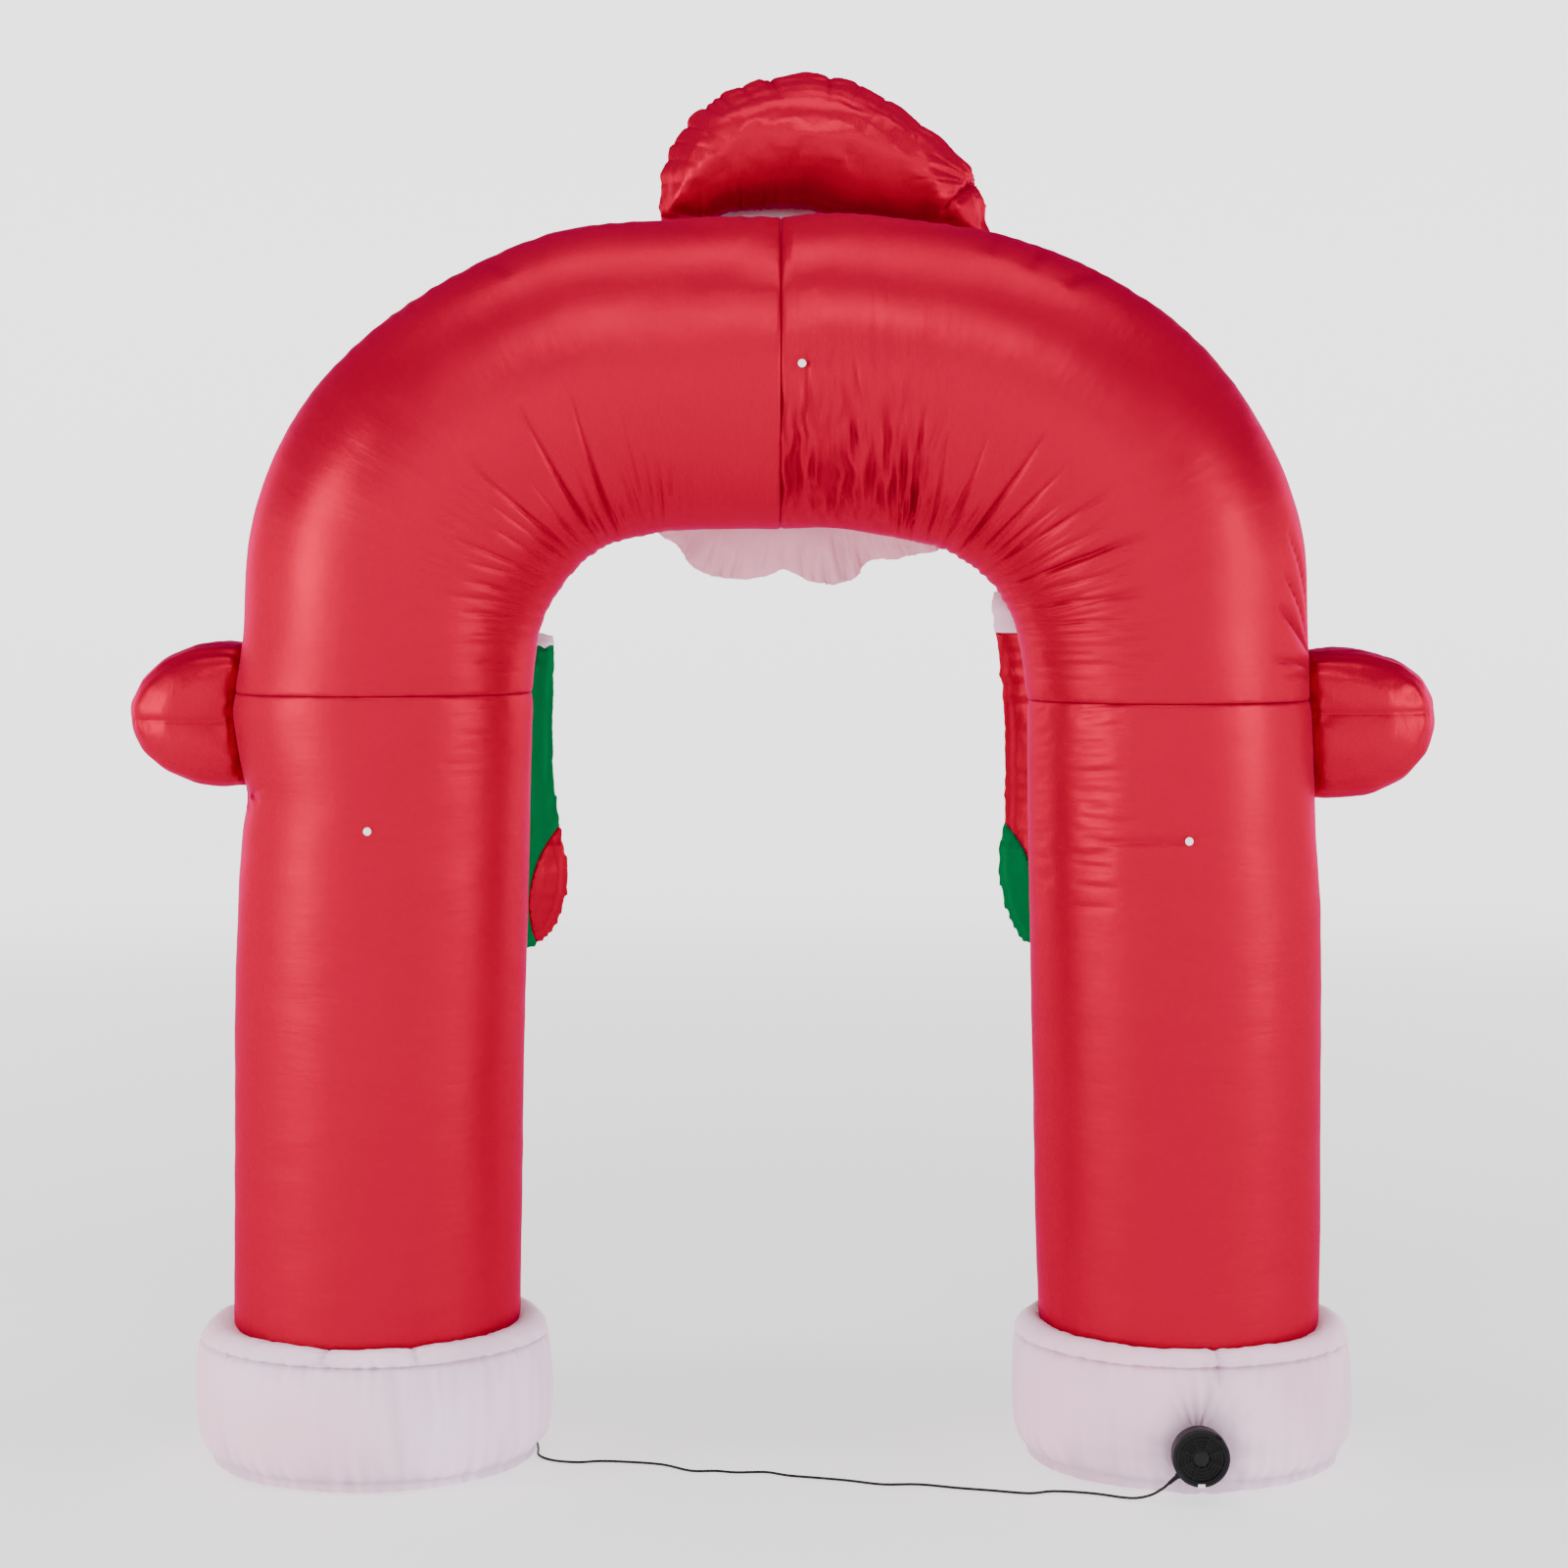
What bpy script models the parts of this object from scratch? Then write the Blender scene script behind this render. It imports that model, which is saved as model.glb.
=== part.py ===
"""Blow-up walk-through arch: two legs on flattened bases, a bent crown, arms, cap, beard and stockings.

Metres, +Z up. The blower is on the -Y side, the trimmings hang on the +Y side, +X is to the right
when the blower side is looked at. Everything stands on Z = 0.
"""
import bpy
import bmesh
from bisect import bisect_right
from math import acos, atan2, cos, exp, hypot, pi, radians, sin, sqrt
from mathutils import Matrix, Vector

# ---------------------------------------------------------------- driving dimensions

GAP = 0.0003               # between pieces that touch
CLEAR = 0.003              # between cloth that lies on cloth
SETTLE_RANGE = 0.012       # over which a cushion's cloth gives where it rests on another piece
WELD = 1e-5                # points nearer than this are one point
EDGE_ONLY = 8              # power that keeps gathers to the sewn edge of a cushion
OUTLINE_POINTS = 90        # of a cushion's edge, where distances to it are measured
CUSHION_CROWDING = 0.8     # under 1 crowds a cushion's rings towards its edge
MIDDLE = Vector((0.0011, -0.0205, 0.0))   # puts the box of the arch over the origin

TUBE_DEPTH = 0.268         # half the depth of legs and crown, front to back
CROWN_DEPTH = 0.272
SEAM_X = -0.006            # plane of the crown's middle seam
CROWN_MID_Z = 2.072        # crown seen as a level tube near its middle
CROWN_HALF_Z = 0.308
TUBE_COLUMNS = 28
CROWN_RINGS = 35

LEG_FOOT_Z = 0.257         # hem of both legs, on the bases
SEAM_Z = {"left": 1.460, "right": 1.446}

# Each leg from its hem to its seam: height, outer edge and inner edge (distances from the middle).
LEG_LEFT = (
    # height, outer, inner
    (0.257, 1.049, 0.505),
    (0.560, 1.049, 0.501),
    (0.910, 1.047, 0.495),
    (1.110, 1.041, 0.490),
    (1.200, 1.034, 0.488),
    (1.262, 1.025, 0.487),
    (1.345, 1.041, 0.485),
    (1.425, 1.053, 0.482),
    (1.460, 1.048, 0.483),
)
LEG_RIGHT = (
    # height, outer, inner
    (0.257, 1.020, 0.488),
    (0.450, 1.023, 0.482),
    (0.700, 1.025, 0.478),
    (0.880, 1.026, 0.473),
    (1.060, 1.025, 0.471),
    (1.200, 1.016, 0.469),
    (1.330, 1.011, 0.467),
    (1.420, 1.007, 0.466),
    (1.446, 1.003, 0.468),
)
LEGS = {"left": (-1.0, LEG_LEFT), "right": (1.0, LEG_RIGHT)}

# Each half of the crown from its leg seam to the middle seam: one row for each section, with the
# section's ends on the outside and on the inside of the bend (x is the distance from the middle).
CROWN_LEFT = (
    # outer x, outer z, inner x, inner z
    (1.048, 1.460, 0.483, 1.460),
    (1.031, 1.566, 0.471, 1.566),
    (1.015, 1.782, 0.445, 1.630),
    (0.932, 1.985, 0.410, 1.683),
    (0.792, 2.147, 0.365, 1.724),
    (0.613, 2.267, 0.312, 1.748),
    (0.417, 2.346, 0.260, 1.761),
    (0.207, 2.364, 0.207, 1.768),
    (0.104, 2.371, 0.104, 1.772),
    (0.000, 2.368, 0.000, 1.772),
)
CROWN_RIGHT = (
    # outer x, outer z, inner x, inner z
    (1.003, 1.446, 0.468, 1.446),
    (1.001, 1.566, 0.450, 1.566),
    (0.991, 1.777, 0.428, 1.626),
    (0.911, 1.974, 0.394, 1.675),
    (0.783, 2.143, 0.348, 1.709),
    (0.609, 2.263, 0.303, 1.735),
    (0.415, 2.338, 0.254, 1.748),
    (0.205, 2.368, 0.205, 1.758),
    (0.093, 2.376, 0.093, 1.775),
    (0.000, 2.368, 0.000, 1.772),
)
# Folds that run round the crown's inner side: place counted in sections, depth and width there.
FOLDS_LEFT = (
    # section, depth, width in sections
    (1.60, 0.006, 0.22),
    (2.60, 0.012, 0.24),
    (3.67, 0.015, 0.26),
    (4.60, 0.014, 0.24),
    (5.27, 0.011, 0.20),
    (6.10, 0.007, 0.20),
    (6.70, 0.006, 0.20),
    (7.60, 0.003, 0.20),
)
FOLDS_RIGHT = (
    # section, depth, width in sections
    (0.55, 0.005, 0.20),
    (1.50, 0.007, 0.22),
    (2.50, 0.013, 0.24),
    (3.27, 0.012, 0.20),
    (3.93, 0.014, 0.20),
    (4.60, 0.012, 0.20),
    (5.30, 0.008, 0.20),
    (6.20, 0.009, 0.22),
    (6.90, 0.008, 0.20),
    (7.50, 0.010, 0.20),
    (8.10, 0.008, 0.20),
)
FOLD_TURN = 0.75           # radians from the inner edge at which the folds are deepest
FOLD_SPREAD = 0.50         # radians over which they fade on both sides of that
CROWNS = {"left": (-1.0, CROWN_LEFT, FOLDS_LEFT), "right": (1.0, CROWN_RIGHT, FOLDS_RIGHT)}
# The crown just above each leg, as one more row of the leg: height, outer, inner.
CROWN_LOW = {
    side: (rows[1][1], rows[1][0], rows[1][2]) for side, (sign, rows, folds) in CROWNS.items()}

# Bases: middle, half width, half depth.
BASES = {"left": (-0.782, 0.336, 0.306), "right": (0.760, 0.323, 0.302)}
BASE_COLUMNS = 40
# Top of a base, from the leg's hem out towards the wall: share of that way, height.
BASE_TOP = (
    # share, height
    (0.00, LEG_FOOT_Z - GAP),
    (0.20, 0.2680),
    (0.48, 0.2700),
    (0.75, 0.2590),
)
# Wall of a base from its gathered seam to the floor: share of the half width, height.
BASE_WALL = (
    # reach, height
    (0.978, 0.2400),
    (1.000, 0.2020),
    (1.003, 0.1400),
    (1.000, 0.0800),
    (0.985, 0.0430),
    (0.940, 0.0140),
    (0.865, 0.0000),
)
BASE_PUCKERS = 13
BASE_PUCKER_DEPTH = 0.012

# Arms: lobes of an upper and a lower panel, sewn along the edge at mid height. Each lies round a
# leg, from its outer side towards +Y; turns are about the leg, from +X over +Y.
ARM_START = radians(184.0)
ARM_END = radians(102.0)
ARM_COLUMNS = 18
ARM_ROWS = 14
ARM_SKEW = 0.47            # moves the furthest reach towards the start
ARM_HEIGHT_SKEW = 0.6      # the same for the full height
ARM_REACH_ROUND = 0.6      # powers under 1 make a fuller lobe
ARM_HEIGHT_ROUND = 0.4
ARM_SECTION_ROUND = 0.75
ARM_GATHER = 0.05          # share by which every second point of the sewn edge is drawn in
ARMS = {
    # height of the seam, rise of the upper panel, drop of the lower panel, reach out of the leg
    "left": (1.408, 0.156, 0.142, 0.224),
    "right": (1.424, 0.124, 0.182, 0.266),
}

# Cap: a standing cushion with a gathered edge, its tip flopped down on the +Y side.
CAP_Y = 0.135
CAP_HALF_Y = 0.135
CAP_EDGE = (
    # x, z
    (0.040, 2.676),
    (-0.060, 2.661),
    (-0.135, 2.630),
    (-0.199, 2.576),
    (-0.240, 2.512),
    (-0.256, 2.448),
    (-0.250, 2.385),
    (-0.185, 2.392),
    (-0.020, 2.405),
    (0.120, 2.400),
    (0.230, 2.388),
    (0.320, 2.330),
    (0.385, 2.285),
    (0.425, 2.315),
    (0.412, 2.395),
    (0.388, 2.475),
    (0.330, 2.533),
    (0.245, 2.597),
    (0.140, 2.657),
)
CAP_MIDDLE = (0.050, 2.520)
CAP_TIP_X = 0.30           # past this the cap leans towards +Y
CAP_TIP_LEAN = 0.075
CAP_TIP_LENGTH = 0.12      # over which the lean grows
CAP_SEAT = (2.435, 2.600)  # heights between which the cap's +Y side settles on the band
CAP_SETTLES = 0.9          # how far it settles, as a share
CAP_COLUMNS = 40
CAP_ROWS = 14
CAP_ROUNDING = 0.15
CAP_GATHER = 0.03

BAND_HALF = (0.295, 0.052, 0.048)      # white band under the cap: half sizes in x, y, z
BAND_MIDDLE = (0.012, 0.232, 2.374)
BAND_ENDS_ROUND = 0.45
BAND_COLUMNS = 14
PANEL_ROWS = 10                        # of the band and of the plain panel

FACE_HALF = (0.208, 0.060, 0.146)      # plain panel under the band
FACE_MIDDLE = (0.016, 0.285, 2.170)
FACE_EDGE_ROUND = 0.7
FACE_COLUMNS = 24

BEARD_Y = 0.300
BEARD_HALF_Y = 0.062
BEARD_COLUMNS = 48
BEARD_ROUNDING = 0.12
CUSHION_ROWS = 8                       # of the beard and of the stockings
BEARD_MIDDLE = (0.030, 1.860)
BEARD_EDGE = (
    # x, z
    (0.015, 2.006),
    (-0.085, 2.017),
    (-0.150, 2.052),
    (-0.198, 2.118),
    (-0.243, 2.160),
    (-0.290, 2.115),
    (-0.315, 2.000),
    (-0.312, 1.880),
    (-0.288, 1.800),
    (-0.250, 1.750),
    (-0.222, 1.744),
    (-0.203, 1.704),
    (-0.165, 1.679),
    (-0.110, 1.667),
    (-0.040, 1.672),
    (0.002, 1.690),
    (0.045, 1.663),
    (0.105, 1.656),
    (0.152, 1.671),
    (0.172, 1.708),
    (0.230, 1.708),
    (0.272, 1.720),
    (0.318, 1.724),
    (0.348, 1.772),
    (0.366, 1.860),
    (0.362, 1.990),
    (0.330, 2.112),
    (0.282, 2.158),
    (0.232, 2.116),
    (0.182, 2.052),
    (0.112, 2.017),
)

# Stockings: standing cushions in front of the legs, heel to the inside, toe to the outside.
STOCKING_Y = 0.318
STOCKING_HALF_Y = 0.068
STOCKING_COLUMNS = 38
STOCKING_ROUNDING = 0.14
STOCKING_LEFT = (
    # x (distance from the middle), z
    (0.600, 1.580),
    (0.500, 1.582),
    (0.459, 1.570),
    (0.460, 1.450),
    (0.461, 1.380),
    (0.454, 1.250),
    (0.436, 1.130),
    (0.427, 1.070),
    (0.437, 1.015),
    (0.462, 0.955),
    (0.519, 0.919),
    (0.640, 0.902),
    (0.780, 0.898),
    (0.890, 0.915),
    (0.950, 0.975),
    (0.935, 1.055),
    (0.860, 1.110),
    (0.785, 1.170),
    (0.755, 1.270),
    (0.752, 1.420),
    (0.756, 1.565),
)
STOCKING_RIGHT = (
    # x (distance from the middle), z
    (0.560, 1.662),
    (0.450, 1.672),
    (0.412, 1.655),
    (0.422, 1.565),
    (0.431, 1.480),
    (0.438, 1.350),
    (0.438, 1.210),
    (0.429, 1.140),
    (0.428, 1.070),
    (0.441, 1.005),
    (0.470, 0.945),
    (0.530, 0.915),
    (0.650, 0.900),
    (0.780, 0.897),
    (0.885, 0.915),
    (0.943, 0.975),
    (0.930, 1.055),
    (0.860, 1.110),
    (0.780, 1.175),
    (0.750, 1.290),
    (0.748, 1.450),
    (0.735, 1.640),
)
STOCKINGS = {
    # side sign, edge, middle x, middle z, cuff seam height
    "left": (-1.0, STOCKING_LEFT, 0.610, 1.200, 1.537),
    "right": (1.0, STOCKING_RIGHT, 0.600, 1.200, 1.569),
}
HEEL_TOP = (0.452, 1.205)              # the heel's seam, x as a distance from the middle
HEEL_FOOT = (0.502, 0.925)

# Blower in the back of the right base.
BLOWER_X = 0.7535
BLOWER_Z = 0.0876
BLOWER_RADIUS = 0.052
BLOWER_BACK_Y = -0.3045
BLOWER_FACE_Y = -0.3440
BLOWER_EDGE = 0.002                    # slope at the drum's two edges
GRILLE_RADIUS = 0.0455
GRILLE_SUNK = 0.003
# Front of the grille from its rim to its hub: radius, height above its back.
GRILLE_FRONT = (
    # radius, height
    (0.0455, 0.0018),
    (0.0260, 0.0008),
    (0.0250, 0.0018),
    (0.0230, 0.0018),
    (0.0220, 0.0008),
    (0.0140, 0.0008),
    (0.0130, 0.0015),
)
LABEL_SIZE = (0.013, 0.0006, 0.0065)
ROUND_STEPS = 28

BUTTON_RADIUS = 0.0075
BUTTON_DEPTH = 0.004
BUTTON_STEPS = 16
BUTTONS = {
    # x, y of the cloth behind it, z
    "button_left": (-0.762, -0.2690, 1.214),
    "button_right": (0.741, -0.2690, 1.196),
    "button_middle": (0.033, -0.2735, 2.070),
}

# Supply cord: leaves the blower low on its side, crosses the walkway on the floor, goes round
# behind the left base and into a coil.
CORD_DIAMETER = 0.005
CORD_FLOOR_Z = 0.0027
CORD_POINTS = 72
RELIEF_TURN = radians(220.0)           # where on the blower the strain relief stands
# Strain relief from the drum outwards: radius, distance.
RELIEF_PROFILE = (
    # radius, distance
    (0.0060, 0.0000),
    (0.0060, 0.0030),
    (0.0046, 0.0050),
    (0.0034, 0.0220),
)
RELIEF_LENGTH = RELIEF_PROFILE[-1][1]
RELIEF_STEPS = 12
CORD_STRAIGHT = 0.006                  # from the relief's end before it bends
ROUTE_STEPS = 20                       # between two points of the route, where its length is measured
CORD_EXIT_Y = -0.329
CORD_ROUTE = (
    # x, y, z
    (0.6860, -0.3290, 0.0310),
    (0.6660, -0.3230, 0.0175),
    (0.6400, -0.3080, 0.0070),
    (0.6100, -0.2870, CORD_FLOOR_Z),
    (0.5600, -0.2630, CORD_FLOOR_Z),
    (0.4950, -0.2510, CORD_FLOOR_Z),
    (0.4480, -0.2640, CORD_FLOOR_Z),
    (0.3800, -0.2460, CORD_FLOOR_Z),
    (0.3180, -0.2300, CORD_FLOOR_Z),
    (0.2490, -0.2080, CORD_FLOOR_Z),
    (0.1820, -0.2080, CORD_FLOOR_Z),
    (0.1210, -0.1840, CORD_FLOOR_Z),
    (0.0660, -0.1670, CORD_FLOOR_Z),
    (0.0080, -0.1510, CORD_FLOOR_Z),
    (-0.0340, -0.1290, CORD_FLOOR_Z),
    (-0.0890, -0.1310, CORD_FLOOR_Z),
    (-0.1280, -0.1210, CORD_FLOOR_Z),
    (-0.1750, -0.1200, CORD_FLOOR_Z),
    (-0.2300, -0.0790, CORD_FLOOR_Z),
    (-0.3000, -0.0610, CORD_FLOOR_Z),
    (-0.3500, -0.0560, CORD_FLOOR_Z),
    (-0.3920, -0.0640, CORD_FLOOR_Z),
    (-0.4400, -0.0500, CORD_FLOOR_Z),
    (-0.4680, -0.0160, CORD_FLOOR_Z),
    (-0.4730, 0.0320, CORD_FLOOR_Z),
    (-0.4810, 0.0820, CORD_FLOOR_Z),
    (-0.5030, 0.1420, CORD_FLOOR_Z),
    (-0.5480, 0.2070, CORD_FLOOR_Z),
    (-0.6100, 0.2580, CORD_FLOOR_Z),
    (-0.6750, 0.2910, CORD_FLOOR_Z),
    (-0.7300, 0.3060, CORD_FLOOR_Z),
)
COIL_X = -0.770
COIL_Y = 0.347
COIL_RADIUS = 0.0275                   # to the middle of its turns
COIL_BUNDLE = 0.0076                   # half the thickness of the wound turns
COIL_STEPS = 24
COIL_SIDES = 8
TIE_WIDTH = 0.005
TIE_THICK = 0.0008
TIE_ROOM = 0.0006                      # between the tie and the turns
TIE_STEPS = 16
TIE_SIDES = 6
PLUG_AWAY = 0.030                      # from the coil's middle to the plug's cord end
PLUG_LENGTH = 0.046
# Plug body from the cord to its face: share of the length, half width, half height.
PLUG_SECTIONS = (
    # share, half width, half height
    (0.00, 0.0035, 0.0035),
    (0.30, 0.0048, 0.0048),
    (0.36, 0.0110, 0.0085),
    (0.48, 0.0140, 0.0105),
    (0.95, 0.0140, 0.0105),
    (1.00, 0.0125, 0.0090),
)
PLUG_SQUARENESS = 0.6
PLUG_COLUMNS = 16
PIN_SIZE = (0.0160, 0.0015, 0.0063)
PIN_SPACING = 0.0127


# ---------------------------------------------------------------- helpers

def clear_scene():
    """Remove every object of the scene, so that the model starts from nothing."""
    for old in list(bpy.data.objects):
        bpy.data.objects.remove(old, do_unlink=True)


def finish(name, roughness, metallic, colour):
    """A plain Principled BSDF material."""
    material = bpy.data.materials.new(name)
    material.use_nodes = True
    shader = material.node_tree.nodes["Principled BSDF"]
    shader.inputs["Base Color"].default_value = (*colour, 1.0)
    shader.inputs["Roughness"].default_value = roughness
    shader.inputs["Metallic"].default_value = metallic
    material.diffuse_color = (*colour, 1.0)
    return material


def add_object(name, bm, material, sharp=50.0):
    """Turn a bmesh into a named object that stands in the arch's frame."""
    bmesh.ops.recalc_face_normals(bm, faces=bm.faces)
    if bm.calc_volume(signed=True) < 0.0:
        bmesh.ops.reverse_faces(bm, faces=bm.faces)
    mesh = bpy.data.meshes.new(name)
    bm.to_mesh(mesh)
    bm.free()
    mesh.materials.append(material)
    mesh.shade_smooth()
    mesh.set_sharp_from_angle(angle=radians(sharp))
    obj = bpy.data.objects.new(name, mesh)
    bpy.context.scene.collection.objects.link(obj)
    obj.location = MIDDLE
    return obj


def wrapped_ball(columns, rows, place):
    """A closed ball whose points go where place(turn, row) says; rows 0 and last are its poles."""
    bm = bmesh.new()
    bmesh.ops.create_uvsphere(bm, u_segments=columns, v_segments=rows, radius=1.0)
    for vert in bm.verts:
        turn = atan2(vert.co.y, vert.co.x)
        row = round(acos(max(-1.0, min(1.0, vert.co.z))) / pi * rows)
        vert.co = place(turn, row)
    return bm


def half_of(bm, point, normal):
    """Cut a closed shape by a plane, keep what lies behind the plane's normal and close it."""
    everything = list(bm.verts) + list(bm.edges) + list(bm.faces)
    bmesh.ops.bisect_plane(
        bm, geom=everything, dist=WELD, plane_co=point, plane_no=normal, clear_outer=True)
    bmesh.ops.remove_doubles(bm, verts=bm.verts, dist=WELD)
    bmesh.ops.holes_fill(bm, edges=[edge for edge in bm.edges if edge.is_boundary], sides=0)
    return bm


def smooth_row(rows, place):
    """The table row at a fractional place, on a smooth curve through the rows."""
    last = len(rows) - 1
    place = max(0.0, min(float(last), place))
    start = min(int(place), last - 1)
    step = place - start
    before, first = rows[max(start - 1, 0)], rows[start]
    second, after = rows[start + 1], rows[min(start + 2, last)]
    row = []
    for a, b, c, d in zip(before, first, second, after):
        row.append(b + 0.5 * step * (c - a + step * (
            2.0 * a - 5.0 * b + 4.0 * c - d + step * (3.0 * (b - c) + d - a))))
    return row


def smooth_loop(points, share):
    """The point at a share of a closed smooth curve through the points."""
    count = len(points)
    place = (share % 1.0) * count
    start = int(place) % count
    window = [points[(start + step) % count] for step in (-1, 0, 1, 2)]
    return smooth_row(window, 1.0 + place - int(place))


def width_at(rows, height):
    """Outer and inner edge of a leg at a height, on straight lines between its rows."""
    heights = [row[0] for row in rows]
    above = max(1, min(len(rows) - 1, bisect_right(heights, height)))
    low, high = rows[above - 1], rows[above]
    step = (height - low[0]) / (high[0] - low[0])
    step = max(0.0, min(1.0, step))
    return [a + (b - a) * step for a, b in zip(low[1:], high[1:])]


def leg_edge(side, turn, height, clear):
    """The point of a leg's outline at a turn and a height, a clearance further out."""
    sign, rows = LEGS[side]
    outer, inner = width_at((*rows, CROWN_LOW[side]), height)
    half = (outer - inner) / 2.0 + clear
    reach = 1.0 / hypot(cos(turn) / half, sin(turn) / (TUBE_DEPTH + clear))
    return Vector((sign * (outer + inner) / 2.0, 0.0, height)), reach


def outside_of_leg(side, point, clear):
    """Move a point that is inside a leg, or nearer to it than the clearance, straight out of it."""
    turn = atan2(point.y, point.x - leg_edge(side, 0.0, point.z, clear)[0].x)
    axis, surface = leg_edge(side, turn, point.z, clear)
    away = hypot(point.x - axis.x, point.y)
    if away < surface:
        point.x = axis.x + surface * cos(turn)
        point.y = surface * sin(turn)
    return point


def kept_above(value, limit):
    """The value, kept above the limit so that larger values stay larger."""
    slack = value - limit - SETTLE_RANGE
    return value if slack > 0.0 else limit + SETTLE_RANGE * exp(slack / SETTLE_RANGE)


def in_front_of_crown(point):
    """Move a point that is inside the level part of the crown towards +Y, out of it."""
    rise = (point.z - CROWN_MID_Z) / (CROWN_HALF_Z + CLEAR)
    if abs(rise) < 1.0:
        point.y = kept_above(point.y, CLEAR + (CROWN_DEPTH + CLEAR) * sqrt(1.0 - rise * rise))
    return point


def swell(share, rounding):
    """Height of a blown-up lobe at a share of its length, 1 at its fullest."""
    return max(0.0, sin(pi * share)) ** rounding


def to_edge(outline, point):
    """Distance from a point to a closed outline."""
    nearest = 1.0
    for start, end in zip(outline, outline[1:] + outline[:1]):
        along = end - start
        share = max(0.0, min(1.0, (point - start).dot(along) / along.length_squared))
        nearest = min(nearest, (point - start - along * share).length)
    return nearest


def cushion(columns, rows, edge, middle, mid_y, half_y, rounding, notches=0):
    """A standing cushion: a closed edge in X and Z, blown up towards -Y and +Y.

    Rings shrink from the edge to the middle. The cloth rounds over from the edge to its full
    depth within the rounding, and every second point of a gathered edge is drawn in a little.
    """
    middle = Vector(middle)
    outline = [Vector(smooth_loop(edge, index / OUTLINE_POINTS)) for index in range(OUTLINE_POINTS)]

    def place(turn, row):
        around = pi * row / rows
        reach = sin(around) ** CUSHION_CROWDING
        flat = middle + (Vector(smooth_loop(edge, turn / (2.0 * pi))) - middle) * reach
        inward = min(1.0, to_edge(outline, flat) / rounding)
        rise = sqrt(1.0 - (1.0 - inward) ** 2.0) if abs(cos(around)) > 1e-6 else 0.0
        if notches and round(turn / (2.0 * pi) * columns) % 2:
            flat = flat.lerp(middle, notches * reach ** EDGE_ONLY)
        front = -1.0 if cos(around) > 0.0 else 1.0
        return Vector((flat.x, mid_y + front * half_y * rise, flat.y))
    return wrapped_ball(columns, rows, place)


def turned(profile, steps):
    """A closed shape turned about Z from a profile that starts and ends on the axis."""
    bm = bmesh.new()
    verts = [bm.verts.new((radius, 0.0, height)) for radius, height in profile]
    edges = [bm.edges.new(pair) for pair in zip(verts, verts[1:])]
    bmesh.ops.spin(
        bm, geom=verts + edges, cent=(0.0, 0.0, 0.0), axis=(0.0, 0.0, 1.0),
        angle=2.0 * pi, steps=steps, use_merge=True)
    bmesh.ops.remove_doubles(bm, verts=bm.verts, dist=WELD)
    return bm


def box(size):
    """A block of this size about the origin."""
    bm = bmesh.new()
    bmesh.ops.create_cube(bm, size=1.0)
    bmesh.ops.scale(bm, vec=size, verts=bm.verts)
    return bm


def set_down(bm, turn=None, place=(0.0, 0.0, 0.0)):
    """Turn a shape and move it to its place."""
    if turn is not None:
        bmesh.ops.transform(bm, matrix=turn, verts=bm.verts)
    bmesh.ops.translate(bm, vec=place, verts=bm.verts)
    return bm


# ---------------------------------------------------------------- legs, crown and bases

def add_leg(side, material):
    """One leg: a blown-up tube with level ends."""
    sign, rows = LEGS[side]
    top = SEAM_Z[side] - GAP
    count = len(rows)

    def place(turn, row):
        height, outer, inner = rows[max(0, min(count - 1, row - 1))]
        height = min(height, top)
        middle = sign * (outer + inner) / 2.0
        half = 0.0 if row in (0, count + 1) else (outer - inner) / 2.0
        depth = 0.0 if half == 0.0 else TUBE_DEPTH
        return Vector((middle + half * cos(turn), depth * sin(turn), height))

    return add_object(f"leg_{side}", wrapped_ball(TUBE_COLUMNS, count + 1, place), material)


def fold_depth(folds, place, turn):
    """How far the cloth is folded in: most on the faces beside the inner edge of the bend."""
    from_inside = abs(abs(turn) - pi)
    reach = exp(-((from_inside - FOLD_TURN) / FOLD_SPREAD) ** 2)
    return reach * sum(depth * exp(-((place - at) / width) ** 2) for at, depth, width in folds)


def add_crown(side, material):
    """Half of the crown, from the leg's seam round the bend to the middle seam."""
    sign, rows, folds = CROWNS[side]
    sections = len(rows) - 1

    def place(turn, row):
        at = sections * (max(1, min(CROWN_RINGS, row)) - 1) / (CROWN_RINGS - 1)
        outer_x, outer_z, inner_x, inner_z = smooth_row(rows, at)
        seam = sign * GAP / 2.0 + SEAM_X
        fade = at / sections
        outer = Vector((sign * outer_x + seam * fade, 0.0, outer_z))
        inner = Vector((sign * inner_x + seam * fade, 0.0, inner_z))
        middle = (outer + inner) / 2.0
        if row in (0, CROWN_RINGS + 1):
            return middle
        depth = TUBE_DEPTH + (CROWN_DEPTH - TUBE_DEPTH) * min(1.0, at)
        reach = (outer - inner) / 2.0 * cos(turn) + Vector((0.0, depth * sin(turn), 0.0))
        drawn_in = fold_depth(folds, at, turn)
        return middle + reach * (1.0 - drawn_in / reach.length)

    bm = wrapped_ball(TUBE_COLUMNS, CROWN_RINGS + 1, place)
    return add_object(f"crown_{side}", bm, material)


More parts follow.
